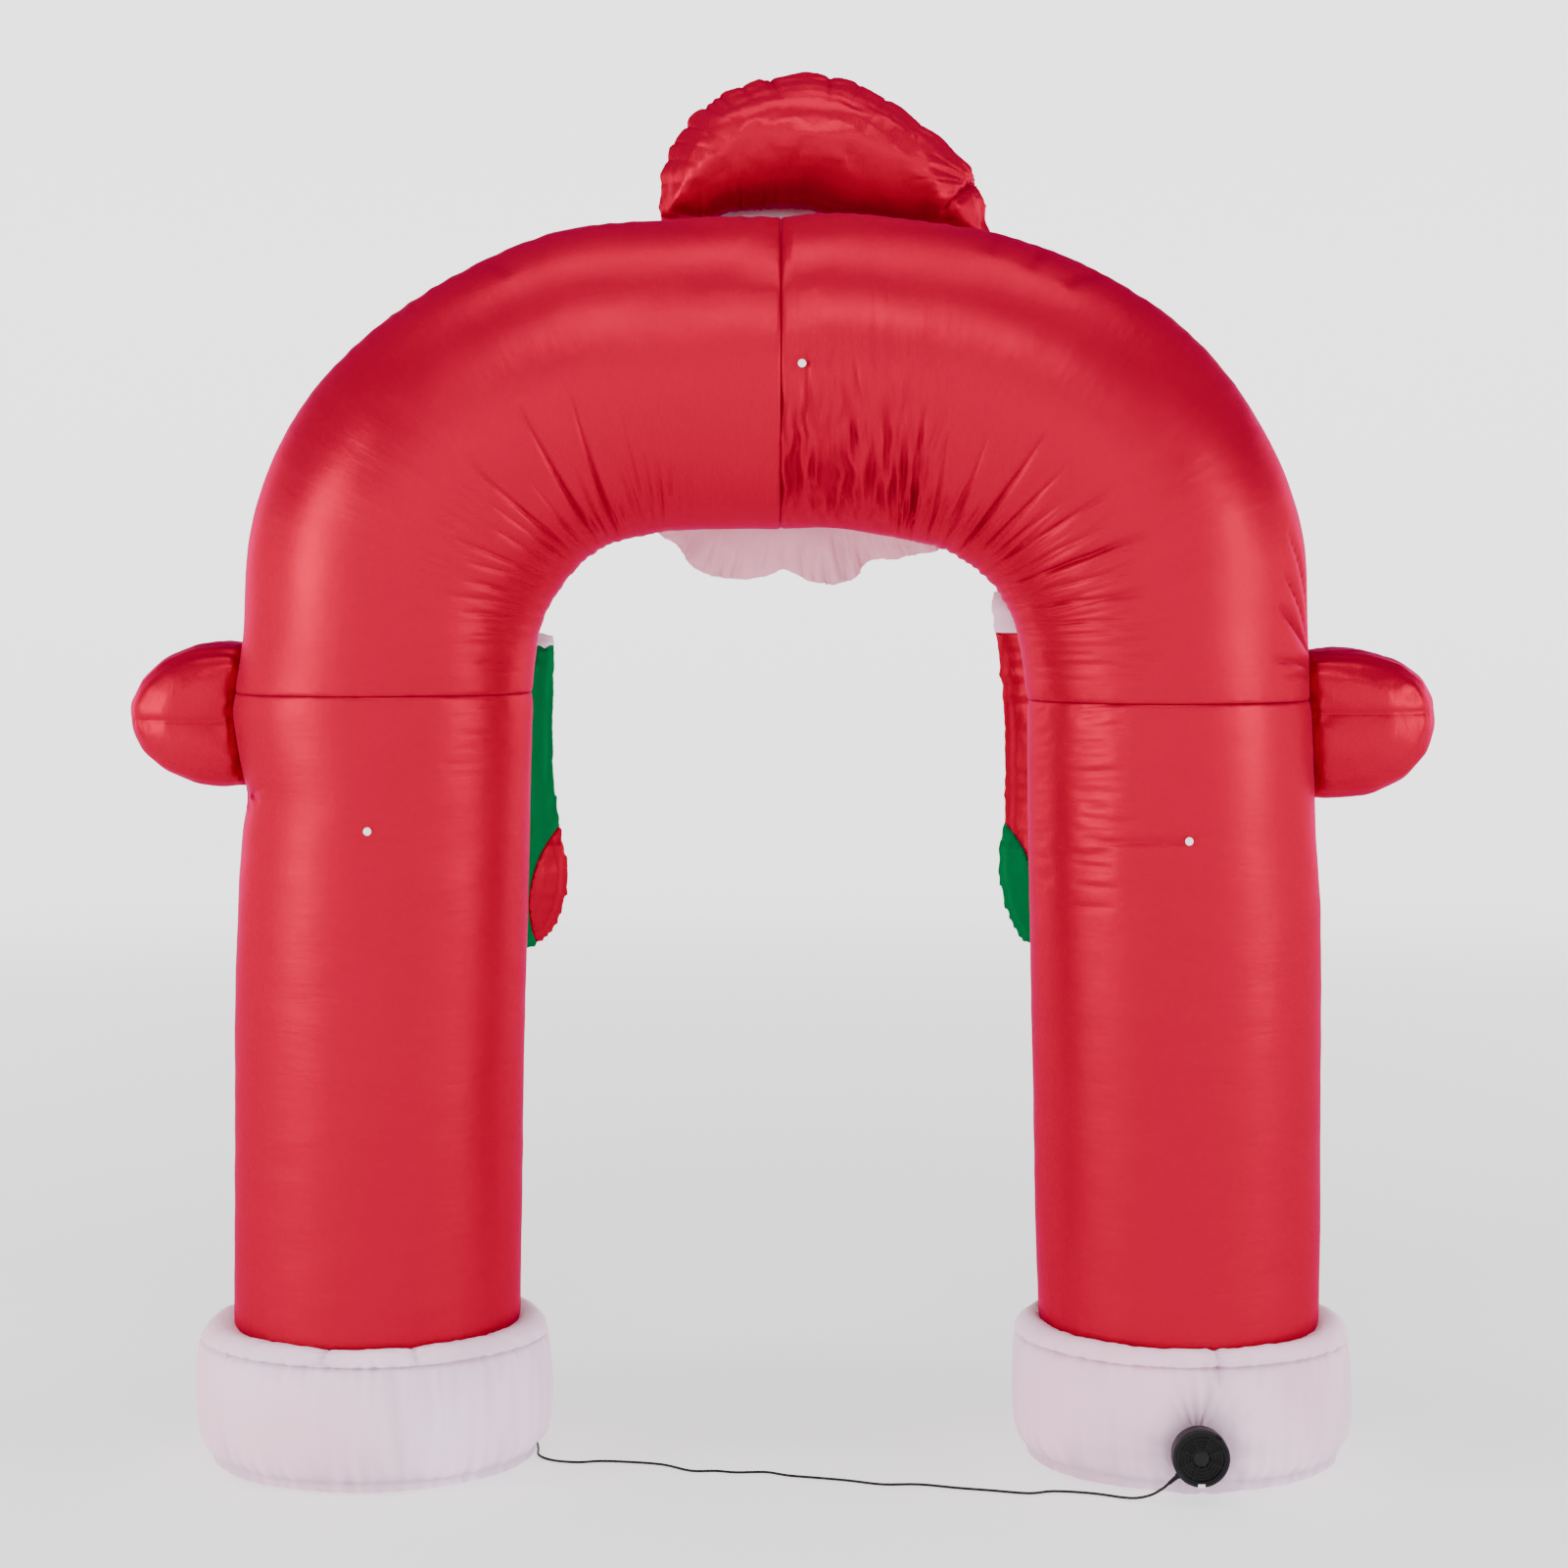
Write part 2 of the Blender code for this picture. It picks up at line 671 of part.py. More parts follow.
def add_base(side, material):
    """A flattened ball of cloth with a gathered seam round its top."""
    middle, half_x, half_y = BASES[side]
    sign, rows = LEGS[side]
    outer, inner = rows[0][1:]
    hem = Vector((sign * (outer + inner) / 2.0, 0.0, 0.0))
    hem_x, hem_y = (outer - inner) / 2.0 + CLEAR, TUBE_DEPTH + CLEAR
    top_rows = len(BASE_TOP)
    count = top_rows + len(BASE_WALL)

    def place(turn, row):
        if row == 0:
            return Vector((hem.x, 0.0, BASE_TOP[0][1]))
        if row == count + 1:
            return Vector((middle, 0.0, BASE_WALL[-1][1]))
        index = row - 1
        wall = Vector((middle + half_x * cos(turn), half_y * sin(turn), 0.0))
        if index < top_rows:
            share, height = BASE_TOP[index]
            point = (hem + Vector((hem_x * cos(turn), hem_y * sin(turn), 0.0))).lerp(wall, share)
            point.z = height
            return point
        reach, height = BASE_WALL[index - top_rows]
        if index == top_rows:
            reach -= BASE_PUCKER_DEPTH * (0.5 + 0.5 * cos(BASE_PUCKERS * turn))
        return Vector((middle + half_x * reach * cos(turn), half_y * reach * sin(turn), height))

    return add_object(f"base_{side}", wrapped_ball(BASE_COLUMNS, count + 1, place), material)


# ---------------------------------------------------------------- sewn-on cushions

def add_arm(side, material):
    """An arm's two panels: a puffed lobe round the leg, cut level at its seam."""
    middle_z, rise, drop, full_reach = ARMS[side]
    mirrored = -LEGS[side][0]

    def place(turn, row):
        share = 0.5 - 0.5 * cos(pi * row / ARM_ROWS)
        about = ARM_START + (ARM_END - ARM_START) * share
        at_edge = max(0.0, cos(turn))
        gather = 1.0 - ARM_GATHER * (row % 2) * at_edge ** EDGE_ONLY
        reach = full_reach * gather * swell(share ** ARM_SKEW, ARM_REACH_ROUND)
        half = rise if turn > 0.0 else drop
        height = middle_z + half * sin(turn) * swell(share ** ARM_HEIGHT_SKEW, ARM_HEIGHT_ROUND)
        axis, surface = leg_edge(side, about, height, 2.0 * CLEAR)
        out = surface + reach * at_edge ** ARM_SECTION_ROUND
        return axis + Vector((mirrored * out * cos(about), out * sin(about), 0.0))

    for panel, up in (("upper", 1.0), ("lower", -1.0)):
        cut = Vector((0.0, 0.0, middle_z + up * GAP / 2.0))
        whole = wrapped_ball(ARM_COLUMNS, ARM_ROWS, place)
        add_object(f"arm_{side}_{panel}", half_of(whole, cut, (0.0, 0.0, -up)), material)


def above_band(point):
    """Lift a point of the cap that is inside the band, or nearer to it than the clearance."""
    middle_x, middle_y, middle_z = BAND_MIDDLE
    half_x, half_y, half_z = (half + 2.0 * CLEAR for half in BAND_HALF)
    across = (point.y - middle_y) / half_y
    if abs(across) < 1.0 and abs(point.x - middle_x) < half_x:
        point.z = kept_above(point.z, middle_z + half_z * sqrt(1.0 - across * across))


def outside_of_crown(point):
    """Move a point of the cap that is inside the crown's top towards +Y, out of it."""
    across = abs(point.y) / (CROWN_DEPTH + CLEAR)
    if across < 1.0:
        roof = CROWN_MID_Z + (CROWN_HALF_Z + CLEAR) * sqrt(1.0 - across * across)
        if point.z < roof:
            in_front_of_crown(point)


def add_cap(material):
    """The cap: a gathered cushion that stands on the crown and leans over at its tip."""
    bm = cushion(
        CAP_COLUMNS, CAP_ROWS, CAP_EDGE, CAP_MIDDLE, CAP_Y, CAP_HALF_Y, CAP_ROUNDING, CAP_GATHER)
    seat, free = CAP_SEAT
    for vert in bm.verts:
        point = vert.co
        facing = max(0.0, min(1.0, (point.y - CAP_Y) / CAP_HALF_Y))
        low = max(0.0, min(1.0, (free - point.z) / (free - seat)))
        if point.z > seat:
            point.z = seat + (point.z - seat) * (1.0 - CAP_SETTLES * facing * low)
        point.y += CAP_TIP_LEAN * max(0.0, min(1.0, (point.x - CAP_TIP_X) / CAP_TIP_LENGTH))
        above_band(point)
        outside_of_crown(point)
    return add_object("cap", bm, material)


def add_band(material):
    """The white band under the cap, a rounded bolster along X."""
    def place(turn, row):
        along = pi * row / PANEL_ROWS
        reach = sin(along) ** BAND_ENDS_ROUND
        point = Vector((BAND_MIDDLE[0] - BAND_HALF[0] * cos(along),
                        BAND_MIDDLE[1] + BAND_HALF[1] * reach * cos(turn),
                        BAND_MIDDLE[2] + BAND_HALF[2] * reach * sin(turn)))
        return in_front_of_crown(point)

    return add_object("cap_band", wrapped_ball(BAND_COLUMNS, PANEL_ROWS, place), material)


def add_face(material):
    """The plain panel between band and beard, lying on the crown."""
    def place(turn, row):
        around = pi * row / PANEL_ROWS
        reach = sin(around) ** FACE_EDGE_ROUND
        point = Vector((FACE_MIDDLE[0] + FACE_HALF[0] * reach * cos(turn),
                        FACE_MIDDLE[1] - FACE_HALF[1] * cos(around),
                        FACE_MIDDLE[2] + FACE_HALF[2] * reach * sin(turn)))
        return in_front_of_crown(point)

    return add_object("face_panel", wrapped_ball(FACE_COLUMNS, PANEL_ROWS, place), material)


def add_beard(material):
    """The scalloped beard: a flat cushion that hangs below the crown."""
    bm = cushion(
        BEARD_COLUMNS, CUSHION_ROWS, BEARD_EDGE, BEARD_MIDDLE, BEARD_Y, BEARD_HALF_Y, BEARD_ROUNDING)
    for vert in bm.verts:
        in_front_of_crown(vert.co)
    return add_object("beard", bm, material)


def add_stocking(side, leg_cloth, cuff_cloth, heel_cloth):
    """A stuffed stocking, cut at its cuff's seam and at its heel's seam into three pieces."""
    sign, rows, middle_x, middle_z, cuff_z = STOCKINGS[side]
    edge = [(sign * x, z) for x, z in rows]
    top = Vector((sign * HEEL_TOP[0], 0.0, HEEL_TOP[1]))
    foot = Vector((sign * HEEL_FOOT[0], 0.0, HEEL_FOOT[1]))
    inward = (top - foot).cross(Vector((0.0, sign, 0.0))).normalized()

    def whole():
        bm = cushion(
            STOCKING_COLUMNS, CUSHION_ROWS, edge, (sign * middle_x, middle_z),
            STOCKING_Y, STOCKING_HALF_Y, STOCKING_ROUNDING)
        for vert in bm.verts:
            outside_of_leg(side, vert.co, 2.5 * CLEAR)
        return bm

    up = Vector((0.0, 0.0, 1.0))
    cuff = half_of(whole(), up * (cuff_z + GAP / 2.0), -up)
    add_object(f"stocking_{side}_cuff", cuff, cuff_cloth)
    below = half_of(whole(), up * (cuff_z - GAP / 2.0), up)
    heel_side = half_of(below.copy(), foot + inward * GAP / 2.0, -inward)
    add_object(f"stocking_{side}_heel", heel_side, heel_cloth)
    add_object(f"stocking_{side}_leg", half_of(below, foot - inward * GAP / 2.0, inward), leg_cloth)


# ---------------------------------------------------------------- blower, buttons and cord

def add_blower(housing, grille, blank):
    """The blower: a short drum with a sunk grille and a blank label plate on its rim."""
    facing = Matrix.Rotation(radians(90.0), 4, "X")
    depth = BLOWER_BACK_Y - BLOWER_FACE_Y
    sink = depth - GRILLE_SUNK
    narrow = BLOWER_RADIUS - BLOWER_EDGE / 2.0
    drum = turned((
        (0.0, 0.0), (narrow, 0.0), (BLOWER_RADIUS, BLOWER_EDGE), (BLOWER_RADIUS, depth - BLOWER_EDGE),
        (narrow, depth), (GRILLE_RADIUS + GAP, depth), (GRILLE_RADIUS + GAP, sink),
        (0.0, sink)), ROUND_STEPS)
    place = (BLOWER_X, BLOWER_BACK_Y, BLOWER_Z)
    add_object("blower_housing", set_down(drum, facing, place), housing, sharp=30.0)

    hub = (0.0, GRILLE_FRONT[-1][1])
    plate = turned(((0.0, 0.0), (GRILLE_RADIUS, 0.0), *GRILLE_FRONT, hub), ROUND_STEPS)
    seat = (BLOWER_X, BLOWER_FACE_Y + GRILLE_SUNK - GAP, BLOWER_Z)
    add_object("blower_grille", set_down(plate, facing, seat), grille, sharp=30.0)

    rim_z = BLOWER_Z - (BLOWER_RADIUS + GRILLE_RADIUS) / 2.0
    front = (BLOWER_X, BLOWER_FACE_Y - GAP - LABEL_SIZE[1] / 2.0, rim_z)
    add_object("blower_label", set_down(box(LABEL_SIZE), None, front), blank)


def relief_line():
    """Start of the strain relief on the drum and its direction."""
    out = Vector((cos(RELIEF_TURN), 0.0, sin(RELIEF_TURN)))
    start = Vector((BLOWER_X, CORD_EXIT_Y, BLOWER_Z)) + out * (BLOWER_RADIUS + 3.0 * GAP)
    return start, out


def add_relief(material):
    """The tapered strain relief on the blower's lower side."""
    start, out = relief_line()
    cone = turned(((0.0, 0.0), *RELIEF_PROFILE, (0.0, RELIEF_LENGTH)), RELIEF_STEPS)
    turn = out.to_track_quat("Z", "Y").to_matrix().to_4x4()
    add_object("cord_relief", set_down(cone, turn, start), material, sharp=30.0)


def add_buttons(material):
    """Three small light buttons on the blower side of legs and crown."""
    facing = Matrix.Rotation(radians(90.0), 4, "X")
    for name, (x, y, z) in BUTTONS.items():
        disc = turned((
            (0.0, 0.0), (BUTTON_RADIUS, 0.0), (BUTTON_RADIUS, BUTTON_DEPTH / 2.0),
            (BUTTON_RADIUS - BUTTON_DEPTH / 2.0, BUTTON_DEPTH), (0.0, BUTTON_DEPTH)), BUTTON_STEPS)
        add_object(name, set_down(disc, facing, (x, y, z)), material, sharp=30.0)


def cord_path():
    """The cord's middle line from the strain relief to the coil, its points evenly spaced."""
    start, out = relief_line()
    leave = start + out * (RELIEF_LENGTH + GAP)
    coil_side = COIL_Y - COIL_RADIUS - COIL_BUNDLE - CORD_DIAMETER / 2.0 - GAP
    second = leave + out * CORD_STRAIGHT
    route = [tuple(leave), tuple(second), *CORD_ROUTE, (COIL_X, coil_side, CORD_FLOOR_Z)]
    steps = ROUTE_STEPS * (len(route) - 1)
    fine = [Vector(smooth_row(route, index / ROUTE_STEPS)) for index in range(steps + 1)]
    for point in fine:
        point.z = max(point.z, CORD_FLOOR_Z)
    run = [0.0]
    for a, b in zip(fine, fine[1:]):
        run.append(run[-1] + (b - a).length)
    points = []
    for index in range(CORD_POINTS):
        want = run[-1] * index / (CORD_POINTS - 1)
        upper = max(1, min(len(run) - 1, bisect_right(run, want)))
        share = (want - run[upper - 1]) / (run[upper] - run[upper - 1])
        points.append(fine[upper - 1].lerp(fine[upper], min(1.0, share)))
    return points


def add_cord(material):
    """The stretch of cord that lies loose, as a bevelled curve."""
    points = cord_path()
    curve = bpy.data.curves.new("cord", "CURVE")
    curve.dimensions = "3D"
    curve.bevel_depth = CORD_DIAMETER / 2.0
    curve.bevel_resolution = 2
    curve.use_fill_caps = True
    spline = curve.splines.new("POLY")
    spline.points.add(len(points) - 1)
    for target, point in zip(spline.points, points):
        target.co = (*point, 1.0)
    curve.materials.append(material)
    obj = bpy.data.objects.new("cord", curve)
    bpy.context.scene.collection.objects.link(obj)
    obj.location = MIDDLE


def ring(radius, thick_r, thick_z, steps, sides):
    """A turned ring about Z with an oval section."""
    bm = bmesh.new()
    verts = []
    for side in range(sides):
        turn = 2.0 * pi * side / sides
        verts.append(bm.verts.new((radius + thick_r * cos(turn), 0.0, thick_z * sin(turn))))
    edges = [bm.edges.new((verts[side - 1], verts[side])) for side in range(sides)]
    bmesh.ops.spin(
        bm, geom=verts + edges, cent=(0.0, 0.0, 0.0), axis=(0.0, 0.0, 1.0),
        angle=2.0 * pi, steps=steps, use_merge=True)
    bmesh.ops.remove_doubles(bm, verts=bm.verts, dist=WELD)
    return bm


def add_coil(cord_material, tie_material):
    """The wound length of cord and the tie round it."""
    tie_inner = COIL_BUNDLE + TIE_ROOM
    centre_z = tie_inner + 2.0 * TIE_THICK
    coil = ring(COIL_RADIUS, COIL_BUNDLE, COIL_BUNDLE, COIL_STEPS, COIL_SIDES)
    add_object("cord_coil", set_down(coil, None, (COIL_X, COIL_Y, centre_z)), cord_material)

    tie = ring(tie_inner + TIE_THICK, TIE_THICK, TIE_WIDTH / 2.0, TIE_STEPS, TIE_SIDES)
    upright = Matrix.Rotation(radians(90.0), 4, "X")
    add_object("cord_tie", set_down(tie, upright, (COIL_X + COIL_RADIUS, COIL_Y, centre_z)), tie_material)


def add_plug(body_material, pin_material):
    """A moulded two-pin plug that lies beside the coil, in line with the side its end leaves from."""
    start_x = COIL_X - PLUG_AWAY
    plug_y = COIL_Y - COIL_RADIUS
    count = len(PLUG_SECTIONS)

    def place(turn, row):
        share, wide, high = PLUG_SECTIONS[max(0, min(count - 1, row - 1))]
        x = start_x - PLUG_LENGTH * share
        if row in (0, count + 1):
            return Vector((x, plug_y, 0.0))
        square = max(abs(cos(turn)), abs(sin(turn))) ** PLUG_SQUARENESS
        return Vector((x, plug_y + wide * cos(turn) / square, high * sin(turn) / square))

    bm = wrapped_ball(PLUG_COLUMNS, count + 1, place)
    rise = -min(vert.co.z for vert in bm.verts)
    add_object("plug_body", set_down(bm, None, (0.0, 0.0, rise)), body_material, sharp=30.0)
    pin_x = start_x - PLUG_LENGTH - GAP - PIN_SIZE[0] / 2.0
    for name, side in (("plug_pin_a", -0.5), ("plug_pin_b", 0.5)):
        middle = (pin_x, plug_y + side * PIN_SPACING, rise)
        add_object(name, set_down(box(PIN_SIZE), None, middle), pin_material)


def main():
    clear_scene()
    red = finish("red_nylon", 0.42, 0.0, (0.75, 0.004, 0.02))
    white = finish("white_nylon", 0.5, 0.0, (0.83, 0.75, 0.83))
    beard_white = finish("beard_nylon", 0.55, 0.0, (0.80, 0.62, 0.68))
    cuff_pale = finish("cuff_nylon", 0.5, 0.0, (0.82, 0.68, 0.76))
    green = finish("green_nylon", 0.45, 0.0, (0.0, 0.16, 0.045))
    panel = finish("panel_nylon", 0.5, 0.0, (0.80, 0.50, 0.38))
    black = finish("blower_plastic", 0.4, 0.0, (0.012, 0.012, 0.014))
    grille = finish("grille_plastic", 0.5, 0.0, (0.015, 0.015, 0.017))
    blank = finish("label_film", 0.5, 0.0, (0.75, 0.75, 0.75))
    cord_rubber = finish("cord_rubber", 0.5, 0.0, (0.012, 0.012, 0.012))
    button = finish("button_plastic", 0.3, 0.0, (0.8, 0.78, 0.78))
    metal = finish("pin_metal", 0.3, 1.0, (0.75, 0.70, 0.55))

    for side in ("left", "right"):
        add_base(side, white)
        add_leg(side, red)
        add_crown(side, red)
        add_arm(side, red)
    add_cap(red)
    add_band(white)
    add_face(panel)
    add_beard(beard_white)
    add_stocking("left", green, white, red)
    add_stocking("right", red, cuff_pale, green)
    add_blower(black, grille, blank)
    add_relief(cord_rubber)
    add_buttons(button)
    add_cord(cord_rubber)
    add_coil(cord_rubber, black)
    add_plug(cord_rubber, metal)


main()
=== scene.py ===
"""Walk-through inflatable arch: sews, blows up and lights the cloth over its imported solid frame.

Metres, +Z up. The blower is on the -Y side, +X is to the right when that side is looked at.
"""

from math import atan2, cos, degrees, exp, inf, pi, radians, sin, sqrt

import bmesh
import bpy
import numpy as np
from bpy.props import FloatProperty, FloatVectorProperty, IntProperty, PointerProperty
from mathutils import Matrix, Vector, noise
from mathutils.bvhtree import BVHTree


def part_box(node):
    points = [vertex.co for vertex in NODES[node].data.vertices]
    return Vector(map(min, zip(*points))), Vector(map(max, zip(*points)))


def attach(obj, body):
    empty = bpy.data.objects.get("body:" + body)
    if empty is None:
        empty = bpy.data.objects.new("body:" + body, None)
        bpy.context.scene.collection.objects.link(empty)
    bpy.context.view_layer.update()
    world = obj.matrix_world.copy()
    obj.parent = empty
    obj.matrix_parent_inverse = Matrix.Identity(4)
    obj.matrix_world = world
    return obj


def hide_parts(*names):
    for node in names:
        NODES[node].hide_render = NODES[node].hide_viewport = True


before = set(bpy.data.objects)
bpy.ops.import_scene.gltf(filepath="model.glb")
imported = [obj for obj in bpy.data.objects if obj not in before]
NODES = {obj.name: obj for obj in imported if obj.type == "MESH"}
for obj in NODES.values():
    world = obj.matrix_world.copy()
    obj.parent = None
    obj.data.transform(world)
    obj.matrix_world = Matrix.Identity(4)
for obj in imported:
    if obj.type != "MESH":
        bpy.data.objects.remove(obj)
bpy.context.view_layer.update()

bl_info = {
    "name": "Walk-through Inflatable Arch",
    "version": (1, 0, 0),
    "blender": (4, 5, 0),
    "location": "3D View > Sidebar > Arch",
    "description": "Sews, blows up and lights a walk-through inflatable arch over its solid frame",
    "category": "Add Mesh",
}


# ---- places read off the frame

def middle_of(name):
    """Middle of a node's box."""
    low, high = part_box(name)
    return (low + high) / 2.0


def half_of(name):
    """Half the size of a node's box."""
    low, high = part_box(name)
    return (high - low) / 2.0


def back_of(name):
    """Middle of the back of a node's box, on its +Y side."""
    low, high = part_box(name)
    return Vector(((low.x + high.x) / 2.0, high.y, (low.z + high.z) / 2.0))


SIDES = {"left": -1.0, "right": 1.0}     # which way each half lies along X
OTHER = {"left": "right", "right": "left"}
AXIS_Y = middle_of("leg_left").y         # plane through the middle of legs and crown
FOOT_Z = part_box("leg_left")[0].z

# The crown bends about a point on each side; places along it are counted in degrees of that bend,
# also on its straight ends, and places round any tube in degrees from its outer side.
BEND_X = 0.207
BEND_Z = 1.566
BEND_RADIUS = 0.53
TUBE_RADIUS = 0.28

# Creases of the crown on the blower side: bend and turn at the inner end, bend and turn at the
# outer end, depth, width.
CREASES = {
    "left": (
        (51.5, 164, 57.4, 90, 0.0105, 0.0070),
        (61.3, 164, 68.1, 95, 0.0100, 0.0070),
        (40.0, 156, 41.4, 97, 0.0080, 0.0060),
        (36.5, 156, 37.0, 112, 0.0045, 0.0050),
        (25.8, 146, 24.9, 110, 0.0065, 0.0055),
        (22.5, 146, 20.5, 118, 0.0040, 0.0050),
        (31.5, 150, 32.0, 120, 0.0045, 0.0050),
        (45.5, 160, 48.5, 116, 0.0045, 0.0050),
        (56.0, 165, 61.0, 118, 0.0050, 0.0050),
        (17.0, 150, 15.5, 120, 0.0040, 0.0050),
        (12.5, 150, 11.0, 116, 0.0035, 0.0050),
        (8.0, 150, 7.0, 122, 0.0035, 0.0050),
        (66.0, 40, 63.0, 18, 0.0040, 0.0140),
        (52.0, 32, 50.0, 10, 0.0035, 0.0120),
    ),
    "right": (
        (51.9, 166, 54.1, 96, 0.0105, 0.0070),
        (45.0, 154, 45.6, 102, 0.0070, 0.0060),
        (40.0, 154, 39.6, 112, 0.0045, 0.0050),
        (35.7, 158, 34.7, 96, 0.0085, 0.0060),
        (29.5, 158, 28.2, 104, 0.0050, 0.0050),
        (24.5, 160, 22.8, 94, 0.0100, 0.0060),
        (18.5, 154, 16.8, 106, 0.0045, 0.0050),
        (12.5, 152, 10.5, 102, 0.0065, 0.0050),
        (6.0, 150, 4.5, 108, 0.0045, 0.0050),
        (61.0, 164, 66.0, 106, 0.0065, 0.0060),
        (70.0, 167, 76.0, 110, 0.0065, 0.0060),
        (79.5, 170, 84.0, 102, 0.0070, 0.0060),
        (5.0, 46, -3.5, 10, 0.0130, 0.0075),
        (10.0, 42, -1.5, 10, 0.0100, 0.0065),
        (-4.0, 50, -6.5, 12, 0.0090, 0.0065),
        (15.0, 34, 1.0, 10, 0.0080, 0.0060),
        (-8.0, 44, -8.0, 12, 0.0060, 0.0055),
        (64.0, 40, 60.0, 16, 0.0060, 0.0120),
        (70.0, 38, 68.0, 14, 0.0050, 0.0120),
        (76.0, 36, 75.0, 12, 0.0040, 0.0120),
    ),
}
# Runs of fine ones: first and last bend, turns at both ends, how many, depth, width.
FINE_CREASES = {
    "left": (
        (71.5, 94.0, 174, 104, 10, 0.0042, 0.0042),
        (20.0, 68.0, 168, 134, 24, 0.0042, 0.0042),
        (-8.0, 20.0, 165, 124, 12, 0.0032, 0.0045),
        (14.0, 40.0, 120, 96, 12, 0.0024, 0.0040),
    ),
    "right": (
        (-9.0, 44.0, 168, 110, 32, 0.0042, 0.0042),
        (44.0, 76.0, 170, 124, 18, 0.0042, 0.0042),
        (-9.0, 30.0, 128, 94, 20, 0.0030, 0.0040),
        (60.0, 84.0, 24, 4, 8, 0.0030, 0.0090),
    ),
}
# The same of the legs, with heights in place of bends.
LEG_CREASES = {
    "left": (
        (1.285, 4, 1.262, 34, 0.0075, 0.0070),
        (1.270, 4, 1.236, 26, 0.0065, 0.0065),
        (1.262, 5, 1.290, 42, 0.0055, 0.0065),
        (1.250, 3, 1.205, 20, 0.0050, 0.0065),
    ),
    "right": (
        (1.196, 88, 1.190, 128, 0.0050, 0.0040),
        (1.165, 122, 1.168, 150, 0.0035, 0.0040),
        (1.105, 118, 1.110, 140, 0.0035, 0.0040),
        (1.070, 120, 1.066, 148, 0.0035, 0.0040),
    ),
}
FINE_LEG_CREASES = {
    "left": (
        (1.28, 1.455, 156, 118, 12, 0.0026, 0.0050),
    ),
    "right": (
        (1.12, 1.44, 148, 110, 26, 0.0036, 0.0042),
        (1.08, 1.43, 176, 148, 20, 0.0030, 0.0042),
    ),
}


# ---- shares and waves

def kept(value, low, high):
    """A value kept between two limits."""
    return max(low, min(high, value))


def clipped(share):
    """A share kept between 0 and 1."""
    return kept(share, 0.0, 1.0)


def smooth(share):
    """A share from 0 to 1 that starts and ends gently."""
    return share * share * (3.0 - 2.0 * share)


# ---- cloth relief

def ripple(across, along, depth, seed):
    """Smooth random waves between about -1 and 1, one to each whole step in three directions."""
    wave = np.vectorize(lambda x, y, z: noise.noise((x + seed * 7.31, y - seed * 3.17, z)))
    return wave(across, along, depth)


def window(values, middle, half):
    """1 at the middle, fading smoothly past half away from it."""
    return np.exp(-((values - middle) / half) ** 2)


def rise(values, start, end):
    """0 before start, 1 after end, smooth between them."""
    return smooth(np.clip((values - start) / (end - start), 0.0, 1.0))


def creased(along, around, start, end, depth, width):
    """Depth of one crease that runs straight across the cloth from start to end, in metres."""
    line = np.subtract(end, start)
    share = ((along - start[0]) * line[0] + (around - start[1]) * line[1]) / line.dot(line)
    inside = np.clip(share, 0.0, 1.0)
    away = np.hypot(along - start[0] - inside * line[0], around - start[1] - inside * line[1])
    fade = np.sqrt(np.clip(4.0 * inside * (1.0 - inside), 0.0, 1.0))
    return depth * fade * np.exp(-away / width)


def waves(along, ring_x, ring_y, table, seed):
    """Sum of ripples in the cloth of a tube: rows of depth, length along, length across, seed."""
    return sum(
        depth * ripple(along / long, ring_x / wide, ring_y / wide, seed + own)
        for depth, long, wide, own in table)


def gathered(along, away, depth, spacing, reach, seed):
    """How far cloth is drawn in beside a gathered seam: a groove with puckers beside it."""
    pucker = 0.5 + 0.9 * ripple(along / spacing, away / (2.0 * reach), away * 0.0, seed)
    return depth * (np.exp(-away / (0.16 * reach)) + 0.8 * pucker * np.exp(-away / reach))


# ---- making pieces

RINGS_CLOSER = 0.78        # by how much rings stand closer at a seam, and for how many rings
RINGS_CLOSE = 5.0
CREASE_SHADE_STARTS = 0.0012       # metres drawn in at which painted crease shade starts to darken the cloth
CREASE_SHADE_RANGE = 0.0080        # and from there to its darkest


def link(name, mesh):
    """A new object of the scene."""
    piece = bpy.data.objects.new(name, mesh)
    bpy.context.scene.collection.objects.link(piece)
    return piece


def mesh_from(name, bm):
    """A smooth-shaded mesh from a bmesh, its faces pointing outwards."""
    bmesh.ops.recalc_face_normals(bm, faces=bm.faces)
    if bm.calc_volume(signed=True) < 0.0:
        bmesh.ops.reverse_faces(bm, faces=bm.faces)
    mesh = bpy.data.meshes.new(name)
    bm.to_mesh(mesh)
    bm.free()
    mesh.shade_smooth()
    return mesh


def fit(piece, material, slot, *nodes):
    """Give a piece its material and its place on the arch, standing for these nodes."""
    piece.data.materials.clear()
    piece.data.materials.append(material)
    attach(piece, "root")
    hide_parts(*nodes)
    return piece


def ring_shares(rings, *close):
    """Shares of a tube's length at which its rings lie, closer together near the ends in close."""
    steps = np.ones(rings - 1)
    count = np.arange(rings - 1)
    for end in close:
        steps -= RINGS_CLOSER * np.exp(-(count if end == 0 else count[::-1]) / RINGS_CLOSE)
    return np.concatenate(([0.0], np.cumsum(steps))) / steps.sum()


def painted_crease_shade(drawn):
    """How much painted crease shade darkens the cloth, from 0 to 1, by how far it is drawn in."""
    return np.clip((drawn - CREASE_SHADE_STARTS) / CREASE_SHADE_RANGE, 0.0, 1.0)


